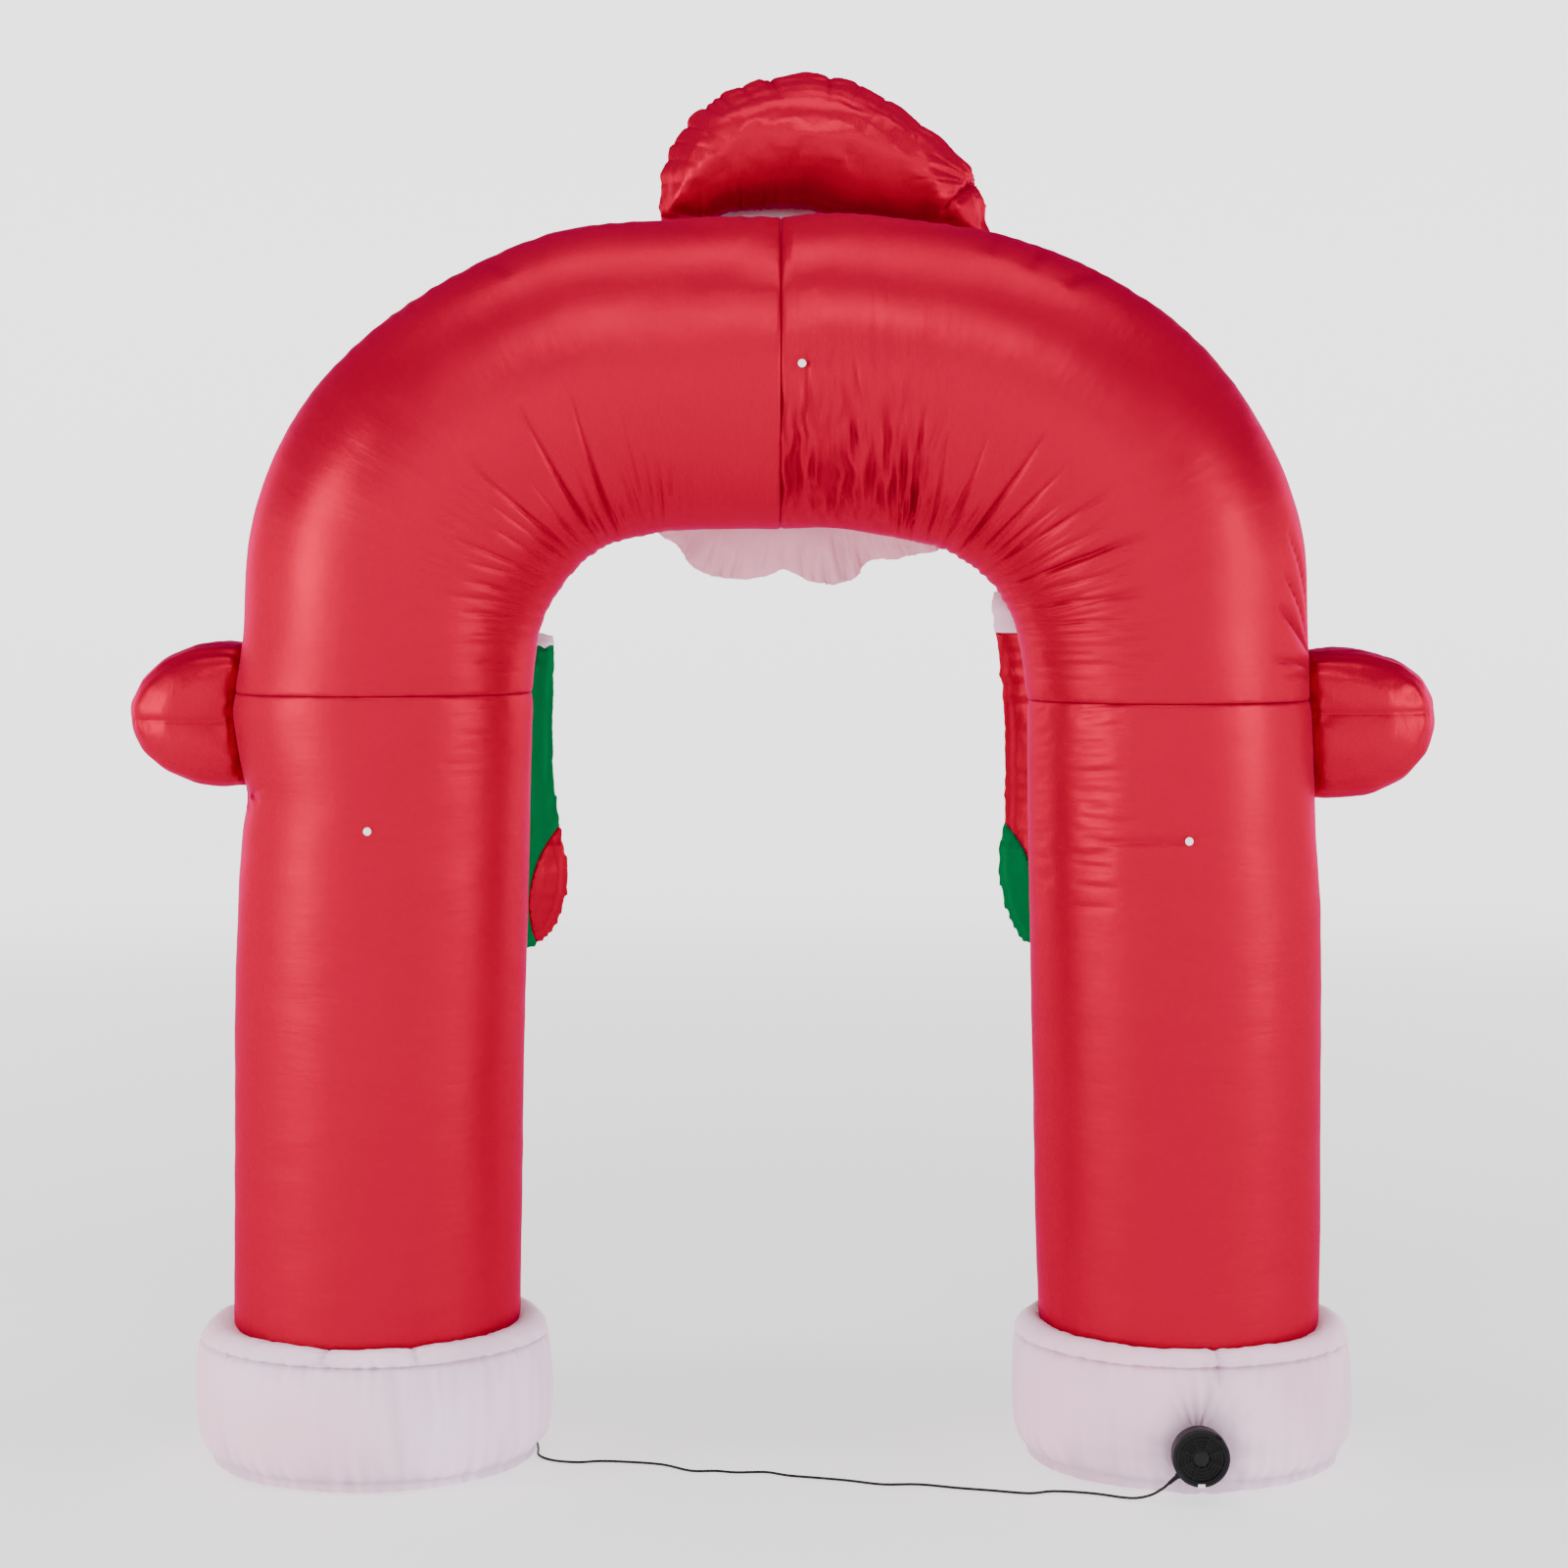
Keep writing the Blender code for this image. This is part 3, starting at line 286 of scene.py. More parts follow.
def tube(columns, shares, place, length, radius, crease_shades):
    """A closed tube of cloth; place(ring, column, turn) gives its points, first and last its ends.

    Its UV map holds metres of cloth: along the tube, round the tube. Each point notes its painted
    crease shade.
    """
    rings = len(shares)
    bm = bmesh.new()
    bmesh.ops.create_grid(bm, x_segments=columns, y_segments=rings - 1, size=1.0)
    for vert in bm.verts:
        turn = pi * vert.co.x
        vert.co = (cos(turn), sin(turn), round((vert.co.y + 1.0) / 2.0 * (rings - 1)))
    seam = [vert for vert in bm.verts if vert.co.x < -0.99999]
    bmesh.ops.remove_doubles(bm, verts=seam, dist=1e-4)
    rims = [edge for edge in bm.edges if edge.is_boundary]
    for pole in (-1, rings):
        rim = [edge for edge in rims if (edge.verts[0].co.z > 0.5) == (pole > 0)]
        made = bmesh.ops.extrude_edge_only(bm, edges=rim)["geom"]
        verts = [part for part in made if isinstance(part, bmesh.types.BMVert)]
        bmesh.ops.pointmerge(bm, verts=verts, merge_co=(0.0, 0.0, pole))
    # Painted crease shade, one value a point, read by the cloth's material.
    crease_shade = bm.verts.layers.float.new("crease_shade")
    spots = {vert: (atan2(vert.co.y, vert.co.x), round(vert.co.z)) for vert in bm.verts}
    for vert, (turn, ring) in spots.items():
        column = round(turn / (2.0 * pi) * columns) % columns
        vert.co = place(ring, column, turn)
        vert[crease_shade] = crease_shades[kept(ring, 0, rings - 1), column]
    cloth = bm.loops.layers.uv.new("cloth")
    for face in bm.faces:
        turns = [spots[vert][0] for vert in face.verts]
        over = max(turns) - min(turns) > pi
        for loop in face.loops:
            turn, ring = spots[loop.vert]
            if over and turn < 0.0:
                turn += 2.0 * pi
            loop[cloth].uv = (shares[kept(ring, 0, rings - 1)] * length, turn * radius)
    return bm


def finish_tube(bm, node, material, slot):
    """Make a tube of cloth an object that stands for a node."""
    piece = link(f"{node}_cloth", mesh_from(f"{node}_cloth", bm))
    fit(piece, material, slot, node)


def dress(material, *nodes):
    """Give the frame's own nodes a material."""
    for node in nodes:
        NODES[node].data.materials.clear()
        NODES[node].data.materials.append(material)


def solid_tree(name):
    """A node's solid, ready for rays to be cast at it."""
    bm = bmesh.new()
    bm.from_mesh(NODES[name].data)
    tree = BVHTree.FromBMesh(bm)
    bm.free()
    return tree


def surface_at(tree, start, direction):
    """The first point of a solid's surface that a ray from start meets."""
    point = tree.ray_cast(start, direction)[0]
    if point is None:
        raise RuntimeError(f"no surface of the frame lies ahead of {tuple(start)}")
    return point


def grid_of(shares, columns):
    """Ring shares (0 to 1) and turns of a tube's points, as two arrays."""
    turns = 2.0 * pi * np.arange(columns) / columns
    turns = np.where(turns > pi, turns - 2.0 * pi, turns)
    return np.meshgrid(shares, turns, indexing="ij")


# ---- settings

class ArchSizes(bpy.types.PropertyGroup):
    """Sizes of the cloth work."""
    tube_columns: IntProperty(
        name="Tube Columns", description="Faces round each leg and each half of the crown",
        default=172, min=32, max=512)
    leg_rings: IntProperty(
        name="Leg Rings", description="Rows of faces along each leg", default=236, min=16, max=512)
    crown_rings: IntProperty(
        name="Crown Rings", description="Rows of faces along each half of the crown",
        default=276, min=16, max=512)
    base_columns: IntProperty(
        name="Base Columns", description="Faces round each base", default=480, min=48, max=720)
    base_rings: IntProperty(
        name="Base Rings", description="Rows of faces from a base's top to its underside",
        default=64, min=16, max=256)
    grain: FloatProperty(
        name="Cushion Grain", description="Face size of the cushions before they are blown up",
        default=0.0096, min=0.003, max=0.03, unit="LENGTH")
    pressure: FloatProperty(
        name="Pressure", description="Air pressure that blows the cushions up",
        default=4.0, min=0.0)
    breaths: IntProperty(
        name="Filling Time", description="Frames for which the cushions are filled", default=16,
        min=1, max=60)


class ArchColours(bpy.types.PropertyGroup):
    """Colours of cloth, plastic and rubber."""
    red: FloatVectorProperty(
        name="Red Cloth", description="Legs, crown, arms and cap", subtype="COLOR",
        default=(0.365, 0.0, 0.021), size=3, min=0.0, max=1.0)
    white: FloatVectorProperty(
        name="White Cloth", description="Bases, band and cuffs", subtype="COLOR",
        default=(0.92, 0.70, 0.89), size=3, min=0.0, max=1.0)
    # Pinkish white: the own colour of one stocking's cuff, and the colour of painted red glow on
    # the white cloth.
    pink_white_and_glow: FloatVectorProperty(
        name="Warm White", description="Where red cloth glows through the white", subtype="COLOR",
        default=(0.90, 0.56, 0.70), size=3, min=0.0, max=1.0)
    beard: FloatVectorProperty(
        name="Beard Cloth", description="The scalloped beard", subtype="COLOR",
        default=(0.92, 0.40, 0.52), size=3, min=0.0, max=1.0)
    green: FloatVectorProperty(
        name="Green Cloth", description="One stocking and the other one's heel", subtype="COLOR",
        default=(0.0, 0.125, 0.036), size=3, min=0.0, max=1.0)
    panel: FloatVectorProperty(
        name="Panel Cloth", description="The plain panel over the beard", subtype="COLOR",
        default=(0.80, 0.52, 0.40), size=3, min=0.0, max=1.0)
    black: FloatVectorProperty(
        name="Black Plastic", description="Blower, cord and plug", subtype="COLOR",
        default=(0.004, 0.0036, 0.0042), size=3, min=0.0, max=1.0)


class ArchStage(bpy.types.PropertyGroup):
    """Camera, lights and floor."""
    distance: FloatProperty(
        name="Camera Distance", description="From the arch's plane to the camera",
        default=5.9, min=1.0, unit="LENGTH")
    height: FloatProperty(
        name="Camera Height", description="Height of the camera, which looks level",
        default=1.66, min=0.0, unit="LENGTH")
    focal: FloatProperty(
        name="Focal Length", description="Lens of the camera in millimetres",
        default=70.71, min=1.0)
    key: FloatProperty(
        name="Side Light", description="Power of the two tall soft lights", default=140.0,
        min=0.0, unit="POWER")
    top: FloatProperty(
        name="Top Light", description="Power of the soft light high in front", default=150.0,
        min=0.0, unit="POWER")
    overhead: FloatProperty(
        name="Overhead Light", description="Power of the soft light right overhead", default=110.0,
        min=0.0, unit="POWER")
    far: FloatProperty(
        name="Far Light", description="Power of the two soft lights on the far side", default=45.0,
        min=0.0, unit="POWER")
    surround: FloatProperty(
        name="Surround", description="Brightness of the pale surround overhead",
        default=0.2, min=0.0)
    glow: FloatProperty(
        name="Backdrop Glow", description="Light that the far floor and the backdrop give off",
        default=1.9, min=0.0)


# ---- materials

class Finish:
    """A material under construction: its shader and short ways to add nodes in front of it."""

    def __init__(self, name, colour, roughness, **inputs):
        self.material = bpy.data.materials.new(name)
        self.material.use_nodes = True
        self.tree = self.material.node_tree
        self.shader = self.tree.nodes["Principled BSDF"]
        self.shade(Base_Color=(*colour, 1.0), Roughness=roughness, **inputs)
        self.object_space = self.add("TexCoord").outputs["Object"]

    def set(self, node, inputs):
        for key, value in inputs.items():
            socket = node.inputs[key]
            if isinstance(value, bpy.types.NodeSocket):
                self.tree.links.new(value, socket)
            else:
                socket.default_value = value

    def shade(self, **inputs):
        """Set or link inputs of the shader itself."""
        self.set(self.shader, {key.replace("_", " "): value for key, value in inputs.items()})

    def add(self, kind, inputs=None, **settings):
        node = self.tree.nodes.new("ShaderNode" + kind)
        for key, value in settings.items():
            setattr(node, key, value)
        self.set(node, inputs or {})
        return node

    def sum(self, *terms):
        """Sum of values times weights."""
        total = None
        for value, weight in terms:
            inputs = {0: value, 1: weight, 2: 0.0 if total is None else total}
            total = self.add("Math", inputs, operation="MULTIPLY_ADD").outputs[0]
        return total

    def times(self, first, second):
        return self.add("Math", {0: first, 1: second}, operation="MULTIPLY").outputs[0]

    def spread(self, value, low, high, to_low, to_high):
        """A value of low to high, stretched to to_low to to_high."""
        return self.add("MapRange", {
            "Value": value, "From Min": low, "From Max": high, "To Min": to_low,
            "To Max": to_high}).outputs["Result"]

    def clouds(self, scale, detail=2.0, vector=None, stretch=None):
        """Soft random patches, at a scale for each metre, stretched along an axis if asked."""
        place = self.object_space if vector is None else vector
        if stretch:
            place = self.add("Mapping", {"Vector": place, "Scale": stretch}).outputs["Vector"]
        return self.add("TexNoise", {
            "Vector": place, "Scale": scale, "Detail": detail}).outputs["Fac"]

    def threads(self, place, pitch, axis):
        """Parallel threads, pitch metres apart."""
        return self.add("TexWave", {
            "Vector": place, "Scale": pi / (10.0 * pitch), "Distortion": 0.4, "Detail": 1.0,
            "Detail Scale": 2.0}, wave_type="BANDS", bands_direction=axis).outputs["Fac"]

    def mixed(self, share, first, second):
        """A colour between two."""
        first, second = (
            value if isinstance(value, bpy.types.NodeSocket) else (*value, 1.0)
            for value in (first, second))
        return self.add(
            "Mix", {"Factor": share, 6: first, 7: second}, data_type="RGBA").outputs[2]

    def gloss(self, scale, low, high):
        """Roughness in soft patches between two values."""
        self.shade(Roughness=self.spread(self.clouds(scale), 0.3, 0.7, low, high))

    def raise_by(self, *terms):
        """Use a sum of heights in millimetres as relief."""
        bump = self.add("Bump", {"Height": self.sum(*terms), "Distance": 0.001, "Strength": 1.0})
        self.shade(Normal=bump.outputs["Normal"])


def scaled(colour, share):
    """A colour made lighter or darker."""
    return tuple(min(1.0, part * share) for part in colour)


THREAD_PITCH = 0.0011      # metres from thread to thread of the weave
UNDYED = (0.08, 0.07, 0.48)        # what the gloss of undyed yarn adds to each part of the dye


def nylon(name, colour, roughness=0.34, mottle=0.06, crinkle=0.5, uv=True, painted_glow=None, satin=0.0):
    """Thin coated nylon: a fine plain weave, a satin gloss, faint mottling, fine crinkles and
    painted shade in its creases.

    The gloss of dyed yarn has the dye's colour: satin is its share. A glow colour, if given, is
    painted in soft patches as red glow.
    """
    dye = scaled(colour, 1.0 / max(colour))
    tint = (*(bare + (1.0 - bare) * part for bare, part in zip(UNDYED, dye)), 1.0)
    down = (0.6, 0.02 + 0.98 * dye[1], 0.5, 1.0) if satin else tint
    finish = Finish(
        name, colour, roughness, Metallic=satin, Specular_IOR_Level=0.0 if satin else 0.10,
        Specular_Tint=tint, Sheen_Weight=0.05 if satin else 0.02, Sheen_Roughness=0.4,
        Sheen_Tint=down)
    place = finish.object_space
    if uv:
        place = finish.add("UVMap", uv_map="cloth").outputs["UV"]
    tone = finish.sum((finish.clouds(1.6, detail=1.0), 0.7), (finish.clouds(14.0), 0.3))
    base = finish.mixed(tone, scaled(colour, 1.0 - mottle), scaled(colour, 1.0 + mottle))
    # Painted red glow: the glow colour is mixed into the cloth in soft random patches.
    if painted_glow is not None:
        glow = finish.spread(finish.clouds(2.4, detail=1.0), 0.35, 0.65, 0.0, 1.0)
        base = finish.mixed(glow, base, painted_glow)
    warp = finish.threads(place, THREAD_PITCH, "X")
    weft = finish.threads(place, THREAD_PITCH, "Y")
    weave = finish.times(warp, weft)
    shade = finish.spread(weave, 0.0, 1.0, 0.0, 0.10)
    base = finish.mixed(shade, base, scaled(colour, 0.55))
    # Painted crease shade: the cloth is mixed towards a darker copy of its colour where it is drawn
    # in.
    crease_shade = finish.add("Attribute", attribute_name="crease_shade").outputs["Fac"]
    base = finish.mixed(finish.times(crease_shade, 0.5), base, scaled(colour, 0.5))
    finish.shade(Base_Color=base)
    finish.gloss(5.0, roughness - 0.05, roughness + 0.06)
    fine = finish.clouds(1.0, vector=place, stretch=(95.0, 12.0, 40.0))
    finish.raise_by((weave, 0.05), (fine, crinkle), (finish.clouds(26.0), 0.9 * crinkle))
    return finish.material


def moulded_plastic(name, colour, roughness=0.42):
    """Black moulded plastic with a fine spark-eroded grain, a little greyer where it is rubbed."""
    finish = Finish(name, colour, roughness, Specular_IOR_Level=0.18)
    rubbed = finish.spread(finish.clouds(90.0, detail=4.0), 0.55, 0.75, 0.0, 0.5)
    finish.shade(Base_Color=finish.mixed(rubbed, colour, scaled(colour, 2.6)))
    finish.gloss(60.0, roughness - 0.08, roughness + 0.1)
    finish.raise_by((finish.clouds(2200.0, detail=1.0), 0.03), (finish.clouds(240.0), 0.05))
    return finish.material


def blank_film(name):
    """A plain pale sticker, slightly yellowed at places."""
    finish = Finish(name, (0.72, 0.72, 0.72), 0.45)
    tone = finish.mixed(finish.clouds(300.0), (0.78, 0.78, 0.78), (0.62, 0.61, 0.58))
    finish.shade(Base_Color=tone)
    finish.raise_by((finish.clouds(900.0), 0.03))
    return finish.material


def clear_cap(name):
    """Milky clear plastic of the light buttons."""
    finish = Finish(name, (0.86, 0.84, 0.84), 0.16, Specular_IOR_Level=0.6, Coat_Weight=0.4)
    tone = finish.mixed(finish.clouds(400.0), (0.92, 0.90, 0.89), (0.70, 0.66, 0.67))
    finish.shade(Base_Color=tone)
    finish.raise_by((finish.clouds(700.0), 0.04))
    return finish.material


def cord_jacket(name, colour):
    """Satin rubber jacket with faint dust and drag marks."""
    finish = Finish(name, colour, 0.45, Specular_IOR_Level=0.18)
    dust = finish.spread(finish.clouds(55.0, detail=4.0), 0.5, 0.75, 0.0, 0.35)
    finish.shade(Base_Color=finish.mixed(dust, colour, (0.030, 0.028, 0.026)))
    finish.gloss(80.0, 0.38, 0.58)
    finish.raise_by((finish.clouds(1300.0), 0.03))
    return finish.material


def plated_pin(name):
    """Nickel-plated brass with fine scratches along the pin."""
    finish = Finish(name, (0.72, 0.69, 0.60), 0.28, Metallic=1.0)
    scratches = finish.clouds(1.0, detail=4.0, stretch=(150.0, 2500.0, 2500.0))
    finish.shade(Roughness=finish.spread(scratches, 0.3, 0.7, 0.2, 0.42))
    finish.raise_by((scratches, 0.01))
    return finish.material


def pale_floor(name, glow):
    """Plain pale paper of floor and backdrop, lit from behind away from the object."""
    finish = Finish(name, (0.62, 0.62, 0.62), 0.9, Specular_IOR_Level=0.1)
    away = finish.add("VectorMath", {0: finish.object_space}, operation="LENGTH").outputs["Value"]
    finish.shade(Emission_Color=(1.0, 1.0, 1.0, 1.0),
                 Emission_Strength=finish.spread(away, 1.5, 11.0, 0.5 * glow, glow))
    finish.material.cycles.emission_sampling = "NONE"
    return finish.material


FINISHES = {}


def finishes(colours, stage):
    """Every material, made once."""
    if not FINISHES:
        FINISHES.update({
            "red": nylon("red_nylon", colours.red, satin=0.5),
            "red_cushion": nylon(
                "red_cushion_nylon", colours.red, uv=False, crinkle=0.7, satin=0.5),
            # The white cloth gets painted red glow in soft patches.
            "white": nylon("white_nylon", colours.white, 0.5, 0.03, 0.5, painted_glow=colours.pink_white_and_glow),
            "white_cushion": nylon("white_cushion_nylon", colours.white, 0.5, 0.03, 0.6, uv=False),
            "cuff": nylon("cuff_nylon", colours.pink_white_and_glow, 0.5, 0.03, 0.6, uv=False),
            "beard": nylon("beard_nylon", colours.beard, 0.55, 0.06, 1.1, uv=False),
            "panel": nylon("panel_nylon", colours.panel, 0.5, 0.05, 0.6, uv=False),
            "green": nylon("green_nylon", colours.green, 0.40, 0.08, 0.7, uv=False, satin=0.2),
            "blower": moulded_plastic("blower_plastic", colours.black),
            "label": blank_film("blank_film"),
            "button": clear_cap("button_plastic"),
            "cord": cord_jacket("cord_rubber", colours.black),
            "pin": plated_pin("pin_metal"),
            "floor": pale_floor("pale_floor", stage.glow),
        })
    return FINISHES


# ---- legs and crown

# Gathered seams: depth of the gathers, spacing and reach of their puckers.
LEG_TOP_SEAM = (0.0022, 0.011, 0.014)
CROWN_FOOT_SEAM = (0.0022, 0.011, 0.014)
MIDDLE_SEAM = (0.0024, 0.012, 0.016)
INNER_SIDE = (156.0, 176.0)        # turns between which creases fade out on a tube's inner side
# Slow waves of the blown-up cloth: depth, length along, length across, own seed.
LEG_WAVES = ((0.0022, 0.34, 0.16, 0.0), (0.0008, 0.05, 0.10, 2.0))
CROWN_WAVES = ((0.0034, 0.26, 0.20, 1.0), (0.0009, 0.05, 0.10, 2.0))
INSIDE_FOLDS = ((0.0040, 0.030, 0.22, 0.0),)    # short ones across the crown, inside its bend
OUTSIDE_FOLDS = ((0.0045, 0.030, 0.30, 3.0),)   # and outside
BUTTON_PUCKERS = (0.009, 0.020)            # depth and reach round a light button
BUTTON_RIM = 0.006
LEG_HEM_GROOVE = (0.003, 0.010)            # depth and reach up the leg
LEG_HEM_FOLDS = (0.0012, 0.016, 0.2)       # depth, length across, length along
LEG_HEM_REACH = 0.10       # metres up the leg over which these folds fade out


def leg_edges(side, heights):
    """X of a leg's outer and inner side at some heights, read off its solid."""
    low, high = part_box(f"leg_{side}")
    tree = solid_tree(f"leg_{side}")
    edges = []
    outward = Vector((SIDES[side], 0.0, 0.0))
    for height in heights:
        level = kept(height, low.z + 0.001, high.z - 0.001)
        start = Vector(((low.x + high.x) / 2.0, AXIS_Y, level))
        edges.append((surface_at(tree, start, outward).x, surface_at(tree, start, -outward).x))
    return softened(np.array(edges), 6)


def softened(rows, passes):
    """Rows averaged with their neighbours, the first and last kept."""
    for _ in range(passes):
        rows[1:-1] = (rows[:-2] + 2.0 * rows[1:-1] + rows[2:]) / 4.0
    return rows


def crease_relief(along, around, single, runs, per_unit):
    """Depth of single creases and of runs of fine ones; per_unit is metres a unit along."""
    relief = np.zeros_like(along)
    for start, start_turn, end, end_turn, depth, width in single:
        first = (start * per_unit, radians(start_turn) * TUBE_RADIUS)
        last = (end * per_unit, radians(end_turn) * TUBE_RADIUS)
        relief += creased(along, around, first, last, depth, width)
    for start, end, inner, outer, count, depth, width in runs:
        for index in range(count):
            chance = noise.cell_vector((index * 1.7, start, inner))
            place = start + (end - start) * (index + 0.5 + 0.7 * (chance.x - 0.5)) / count
            reach = inner - 0.45 * (inner - outer) * chance.y
            tip = outer + 0.35 * (inner - outer) * chance.z
            lean = 0.035 * (place - start)
            first = (place * per_unit, radians(reach) * TUBE_RADIUS)
            last = ((place + lean) * per_unit, radians(tip) * TUBE_RADIUS)
            relief += creased(along, around, first, last, depth * (0.4 + 0.6 * chance.y), width)
    return relief


def make_leg(side, sizes, material):
    """One leg: a blown-up tube, gathered at its seam and its hem."""
    low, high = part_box(f"leg_{side}")
    rings, columns = sizes.leg_rings, sizes.tube_columns
    rows = ring_shares(rings, 1)
    shares, turns = grid_of(rows, columns)
    length = high.z - low.z
    heights = low.z + shares * length
    edges = leg_edges(side, heights[:, 0])
    depth = half_of(f"leg_{side}").y
    seed = 3.0 + SIDES[side]
    ring_x, ring_y = TUBE_RADIUS * np.cos(turns), TUBE_RADIUS * np.sin(turns)
    relief = crease_relief(
        heights, -turns * TUBE_RADIUS, LEG_CREASES[side], FINE_LEG_CREASES[side], 1.0)
    relief *= 1.0 - 0.7 * rise(np.abs(np.degrees(turns)), *INNER_SIDE)
    middle = (edges[:, 0] + edges[:, 1])[:, None] / 2.0
    reach = (edges[:, 0] - edges[:, 1])[:, None] / 2.0
    relief += round_button(middle + reach * np.cos(turns), heights, turns, f"button_{side}")
    relief += gathered(turns * TUBE_RADIUS, high.z - heights, *LEG_TOP_SEAM, seed)
    # Painted shade in the creases, seams and puckers, taken before the slow waves are added.
    crease_shades = painted_crease_shade(relief)
    relief += waves(heights, ring_x, ring_y, LEG_WAVES, seed)
    groove, groove_reach = LEG_HEM_GROOVE
    relief += groove * np.exp(-(heights - low.z) / groove_reach)
    fold, wide, long = LEG_HEM_FOLDS
    relief += fold * rise(-heights, -low.z - LEG_HEM_REACH, -low.z) * ripple(
        turns * TUBE_RADIUS / wide, heights / long, 0.0 * heights, seed)

    def place(ring, column, turn):
        held = kept(ring, 0, rings - 1)
        outer, inner = edges[held]
        centre, reach = (outer + inner) / 2.0, (outer - inner) / 2.0
        if ring != held:
            return Vector((centre, AXIS_Y, heights[held, 0]))
        drawn = relief[ring, column] * (1.0 / TUBE_RADIUS)
        return Vector((centre + reach * cos(turn) * (1.0 - drawn),
                       AXIS_Y + depth * sin(turn) * (1.0 - drawn), heights[ring, 0]))

    bm = tube(columns, rows, place, length, TUBE_RADIUS, crease_shades)
    finish_tube(bm, f"leg_{side}", material, "red_cloth")


def crown_station(side, run, low_z, end_x):
    """Foot, direction and bend of the crown's section that is run metres past the leg's seam."""
    sign = SIDES[side]
    straight = BEND_Z - low_z
    quarter = BEND_RADIUS * pi / 2.0
    if run < straight:
        foot = Vector((sign * BEND_X, AXIS_Y, low_z + run))
        return foot, Vector((sign, 0.0, 0.0)), degrees((run - straight) / BEND_RADIUS)
    if run < straight + quarter:
        angle = (run - straight) / BEND_RADIUS
        foot = Vector((sign * BEND_X, AXIS_Y, BEND_Z))
        return foot, Vector((sign * cos(angle), 0.0, sin(angle))), degrees(angle)
    past = run - straight - quarter
    foot = Vector((sign * (BEND_X - past), AXIS_Y, BEND_Z))
    limit = end_x + sign * 0.0008
    foot.x = max(foot.x, limit) if sign > 0.0 else min(foot.x, limit)
    return foot, Vector((0.0, 0.0, 1.0)), 90.0 + degrees(past / BEND_RADIUS)


def make_crown(side, sizes, material):
    """Half of the crown: a bent tube, creased along the inside of its bend."""
    name = f"crown_{side}"
    low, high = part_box(name)
    end_x = high.x if side == "left" else low.x
    rings, columns = sizes.crown_rings, sizes.tube_columns
    rows = ring_shares(rings, 0, 1)
    shares, turns = grid_of(rows, columns)
    straight = BEND_Z - low.z
    length = straight + BEND_RADIUS * pi / 2.0 + BEND_X - SIDES[side] * end_x
    tree = solid_tree(name)
    ends, bends = [], []
    for share in shares[:, 0]:
        run = kept(share * length, 0.001, length - 0.001)
        foot, direction, bend = crown_station(side, run, low.z, end_x)
        inner = surface_at(tree, foot, direction)
        outer = surface_at(tree, foot + direction * 2.0, -direction)
        ends.append((outer.x, outer.z, inner.x, inner.z))
        bends.append(bend)
    ends = softened(np.array(ends), 8)
    ends[0, 1] = ends[0, 3] = low.z
    ends[-1, 0] = ends[-1, 2] = end_x
    run = shares * length
    bend = np.repeat(np.array(bends)[:, None], columns, axis=1)
    depth = half_of(name).y
    leg_depth = half_of(f"leg_{side}").y
    seed = 11.0 + 4.0 * SIDES[side]
    per_degree = radians(1.0) * BEND_RADIUS
    along = bend * per_degree
    ring_x, ring_y = TUBE_RADIUS * np.cos(turns), TUBE_RADIUS * np.sin(turns)
    back = -turns * TUBE_RADIUS
    relief = crease_relief(along, back, CREASES[side], FINE_CREASES[side], per_degree)
    other = OTHER[side]
    relief += crease_relief(along, -back, CREASES[other], FINE_CREASES[other], per_degree)
    if side == "right":
        relief += crumpled(along, bend, turns, ring_x, ring_y)
    relief *= 1.0 - 0.75 * rise(np.abs(np.degrees(turns)), *INNER_SIDE)
    relief += gathered(turns * TUBE_RADIUS, run, *CROWN_FOOT_SEAM, 3.0 + SIDES[side])
    relief += gathered(turns * TUBE_RADIUS, length - run, *MIDDLE_SEAM, 6.0)
    if side == "right":
        share = (1.0 + np.cos(turns)) / 2.0
        cloth_x, cloth_z = (
            ends[:, inner:inner + 1] + (ends[:, outer] - ends[:, inner])[:, None] * share
            for outer, inner in ((0, 2), (1, 3)))
        relief += round_button(cloth_x, cloth_z, turns, "button_middle")
    # Painted shade in the creases, seams and puckers, taken before the slow waves and folds are
    # added.
    crease_shades = painted_crease_shade(relief)
    from_outside = np.abs(np.degrees(turns))
    inside = window(from_outside, 180.0, 55.0) * window(bend, 42.0, 40.0)
    relief += inside * waves(along, ring_x, ring_y, INSIDE_FOLDS, seed)
    relief += waves(along, ring_x, ring_y, CROWN_WAVES, seed)
    outside = window(from_outside, 0.0, 26.0) * rise(bend, 20.0, 50.0)
    relief += outside * np.abs(waves(along, ring_x, ring_y, OUTSIDE_FOLDS, seed))
    relief += folded(length - run, back, side)

    def place(ring, column, turn):
        held = kept(ring, 0, rings - 1)
        outer_x, outer_z, inner_x, inner_z = ends[held]
        centre = Vector(((outer_x + inner_x) / 2.0, AXIS_Y, (outer_z + inner_z) / 2.0))
        if ring != held:
            return centre
        half = Vector(((outer_x - inner_x) / 2.0, 0.0, (outer_z - inner_z) / 2.0))
        deep = leg_depth + (depth - leg_depth) * min(1.0, shares[ring, 0] * 9.0)
        drawn = relief[ring, column] / TUBE_RADIUS
        return centre + (half * cos(turn) + Vector((0.0, deep * sin(turn), 0.0))) * (1.0 - drawn)

    finish_tube(
        tube(columns, rows, place, length, TUBE_RADIUS, crease_shades), name, material, "red_cloth")


